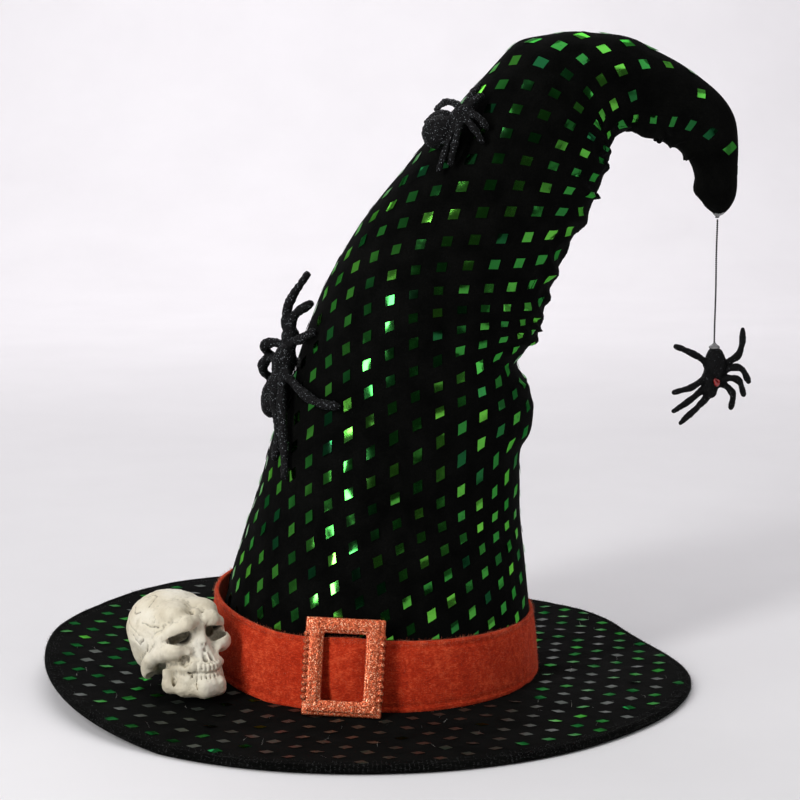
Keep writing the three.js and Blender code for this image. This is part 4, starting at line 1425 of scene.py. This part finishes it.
def brim():
    """The two cloths of the brim and their foil; it gives back the top cloth's points."""
    top, edge, bottom = brim_profile()
    over, under = top + edge[:6], edge[4:] + bottom
    upper, lower = brim_points(over), brim_points(under)
    upper[..., 2] += ripple(upper, over)
    radius = np.array([r for r, _ in under])
    press = np.maximum(0.25 * fractal(lower, 20, 54), 0) + 0.6
    lower[..., 2] += press * smoothstep(192 - radius, 0, 3)[:, None]
    upper_faces, lower_faces = (
        grid_faces(len(grid), BRIM_COLUMNS)[:, ::-1] for grid in (upper, lower)
    )
    upper_obj = mesh_object("brim_velour", upper, upper_faces)
    lower_obj = mesh_object("brim_under_velour", lower, lower_faces)
    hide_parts("brim_top_cover")
    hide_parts("brim_under_cover")
    for obj, inner in ((upper_obj, BRIM_TOP_INNER), (lower_obj, BRIM_UNDER_INNER)):
        finished(obj, "velour", "hat")
    brim_foil("brim_foil", upper, top, 1, math.radians(-62), 191)
    brim_foil("brim_under_foil", lower[5:], bottom, -1, math.radians(10), 187)
    return upper


def felt_band():
    """A stitched strip of felt, which bulges under the buckle; it gives back its face's points."""
    columns, arc_radius, seam = 420, 97, 3.6
    angle = circle(columns)
    bottom = underside(BRIM_INNER, angle) + BRIM_THICKNESS + 0.6
    left = np.maximum(0, -np.cos(angle - 0.15))
    away = wrapped(angle - BUCKLE_AROUND) * arc_radius
    height = BAND_HEIGHT - BAND_DROP * np.maximum(0, np.cos(angle))
    height = height + 1.6 * np.exp(-((away / 14) ** 2))
    rows, inner = [], []
    for f in np.linspace(0, 1, 34):
        mm = f * height
        stand = BAND_STAND_OFF * f * f * left
        seams = np.exp(-(((mm - seam) / 0.9) ** 2)) + np.exp(-(((mm - height + seam) / 0.9) ** 2))
        stitch = -0.8 * seams * (0.7 + 0.3 * np.cos(angle * 150))
        bulge = 2.2 * np.exp(-((away / 9.5) ** 4)) * np.exp(-(((mm - 25) / 15) ** 4))
        rims = np.maximum(0, 1 - mm / 1.2) ** 2 + np.maximum(0, 1 - (height - mm) / 1.2) ** 2
        waves = 0.21 * np.sin(angle * 13 + f * 3) * math.sin(f * 3.14)
        waves = waves + 0.12 * np.sin(angle * 31 + f * 5)
        extra = BAND_GAP + FELT + stand + stitch + bulge - 0.5 * rims + waves
        rows.append(wall(angle, bottom + mm, extra))
        inner.append(wall(angle, bottom + 0.3 + f * (height - 0.6), BAND_GAP + stand))
    outer = np.stack(rows)
    outer += 0.25 * fractal(outer, 5, 61)[..., None] * grid_normals(outer)
    loop = np.concatenate([outer, np.stack(inner[::-1]), outer[:1]])
    obj = mesh_object("felt_band", loop, grid_faces(len(loop), columns))
    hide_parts("hat_band")
    finished(obj, "felt", "hat")
    return outer


def fibres(name, roots, normals, look, count, length, seed, width=0.07):
    """Loose fibres that stand off a surface: thin three-sided slips, bent over."""
    roots, normals = roots.reshape(-1, 3), normals.reshape(-1, 3)
    random = np.random.default_rng(seed)
    pick = random.integers(0, len(roots), count)
    root, normal = roots[pick], normals[pick]
    wander = unit(random.normal(size=(count, 3)))
    out = unit(normal * 0.75 + wander * 0.8)
    side = unit(np.cross(out, wander + 0.01)) * width / 2
    size = length * random.uniform(0.4, 1.0, count)[:, None]
    bent = unit(out + 0.7 * unit(random.normal(size=(count, 3))))
    middle = root + out * size * 0.5
    end = middle + bent * size * 0.5
    corners = [root - side, root + side, middle + side * 0.7, middle - side * 0.7, end]
    base = np.arange(count)[:, None] * 5
    faces = (base + [0, 1, 2, 3]).tolist() + (base + [3, 2, 4]).tolist()
    finished(mesh_object(name, np.stack(corners, axis=1), faces), look, "hat")


# ---- The object ----
thread = thread_line()
spider, spot = hanging_spider()
drop = spider_glue()
tie = knot()
tip_glue()

crown_lining()
tip_filling()
crown_velour()
crown_foil()
elastic("crown_elastic", 0.8, 8.2, 5.0, 6, "hat", "crown_gather_elastic", 6)
elastic("tip_elastic", 9.8, 13.8, 3.0, 4, "tip", "tip_gather_elastic", 8)
sweatband()
brim_face = brim()
band_face = felt_band()
skull()
buckle()
perched_spider("side_spider_casting", SIDE_SPIDER, "side_spider", 0.6, 71)
perched_spider("upper_spider_casting", UPPER_SPIDER, "upper_spider", 0.45, 81)

band_out = grid_normals(band_face)
fibres("felt_fuzz", band_face, band_out, "rust_fibre", 15000, 1.7, 91)
upwards = unit(band_out[-3:] + (0, 0, 1.4))
fibres("felt_edge_fuzz", band_face[-3:], upwards, "rust_fibre", 5000, 2.6, 94, 0.09)
rim = brim_face[-9:]
rim_out = unit(rim * (1, 1, 0)) + (0, 0, 0.3)
fibres("brim_fuzz", rim, rim_out, "dark_fibre", 7000, 2.2, 92, 0.10)
loose = brim_face[10:50, ::3]
upright = np.broadcast_to((0.0, 0.0, 1.0), loose.shape)
fibres("stray_hairs", loose, upright, "pale_fibre", 70, 5.0, 93, 0.10)

for name, look in (
    ("brim_stiffener", "board"), ("brim_edge_wire", "wire"), ("buckle_glue_upper", "glue"),
    ("buckle_glue_lower", "glue"), ("skull_glue", "glue"), ("side_spider_glue", "dark_glue"),
    ("upper_spider_glue", "dark_glue"),
):
    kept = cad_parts[name]
    kept.data.materials.clear()
    kept.data.materials.append(M[look])


# ---- Floor, light and world ----
def area_light(name, place_at, aim, size, power, colour=(1, 1, 1)):
    data = bpy.data.lights.new(name, "AREA")
    data.shape = "RECTANGLE"
    data.size, data.size_y = size
    data.energy, data.color = power, colour
    light = bpy.data.objects.new(name, data)
    light.location = place_at
    direction = Vector(aim) - Vector(place_at)
    light.rotation_euler = direction.to_track_quat("-Z", "Y").to_euler()
    scene.collection.objects.link(light)


def floor():
    """Flat under and behind the hat, then rising in a quarter circle to an upright wall."""
    front, flat_to, radius, high, half_width = -2.4, 1.8, 0.9, 2.4, 3.0
    profile = [(front, 0.0), (flat_to, 0.0)]
    for a in np.linspace(0, math.pi / 2, 16)[1:]:
        profile.append((flat_to + radius * math.sin(a), radius - radius * math.cos(a)))
    profile.append((flat_to + radius, high))
    points = [(x * 1000, y * 1000, z * 1000) for y, z in profile for x in (-half_width, half_width)]
    faces = [[2 * i, 2 * i + 1, 2 * i + 3, 2 * i + 2] for i in range(len(profile) - 1)]
    obj = mesh_object("floor", points, faces)
    made = material("pale_floor", (0.80, 0.79, 0.80), 0.85)
    stops = [(0.3, (0.79, 0.78, 0.79)), (0.7, (0.82, 0.81, 0.82))]
    feed(made, Base_Color=ramp(made, noise(made, 6, 3), stops))
    obj.data.materials.append(made)


WORLD_TONES = [
    (0.05, (0.04, 0.04, 0.043)), (0.3, (0.15, 0.15, 0.155)), (0.55, (0.38, 0.37, 0.385)),
    (1.0, (0.44, 0.43, 0.45)),
]
WORLD_STRENGTH = 1.08
BACKDROP_WHITE = (1.0, 0.97, 1.005)


def studio_world():
    """Pale behind and beside the object, and dim in front of it where nothing is lit."""
    world = bpy.data.worlds.new("studio")
    scene.world = world
    world.use_nodes = True
    direction = node(world, "ShaderNodeTexCoord").outputs["Generated"]
    apart = node(world, "ShaderNodeSeparateXYZ", Vector=direction)
    to_front = grey(world, apart.outputs["Y"], 0, 1, -1, 1)
    background = world.node_tree.nodes["Background"]
    fill(world, background.inputs["Color"], ramp(world, to_front, WORLD_TONES))
    fill(world, background.inputs["Strength"], WORLD_STRENGTH)


floor()
area_light("key", (-0.90, -1.06, 0.75), (0.0, 0, 0.2), (0.24, 1.1), 16.5)
area_light("top", (0.1, -0.3, 1.9), (0.05, 0, 0.15), (1.6, 1.2), 7.5)
area_light("fill", (1.3, -0.5, 0.9), (0.05, 0, 0.2), (0.8, 1.2), 4)
area_light("backdrop", (-0.45, 1.5, 1.7), (-0.45, 1.9, 0), (2.4, 1.2), 20.5, BACKDROP_WHITE)
area_light("wall", (0.1, 1.5, 1.3), (0.1, 2.6, 0.7), (2.0, 0.6), 7.5, BACKDROP_WHITE)
studio_world()
scene.view_settings.view_transform = "Standard"
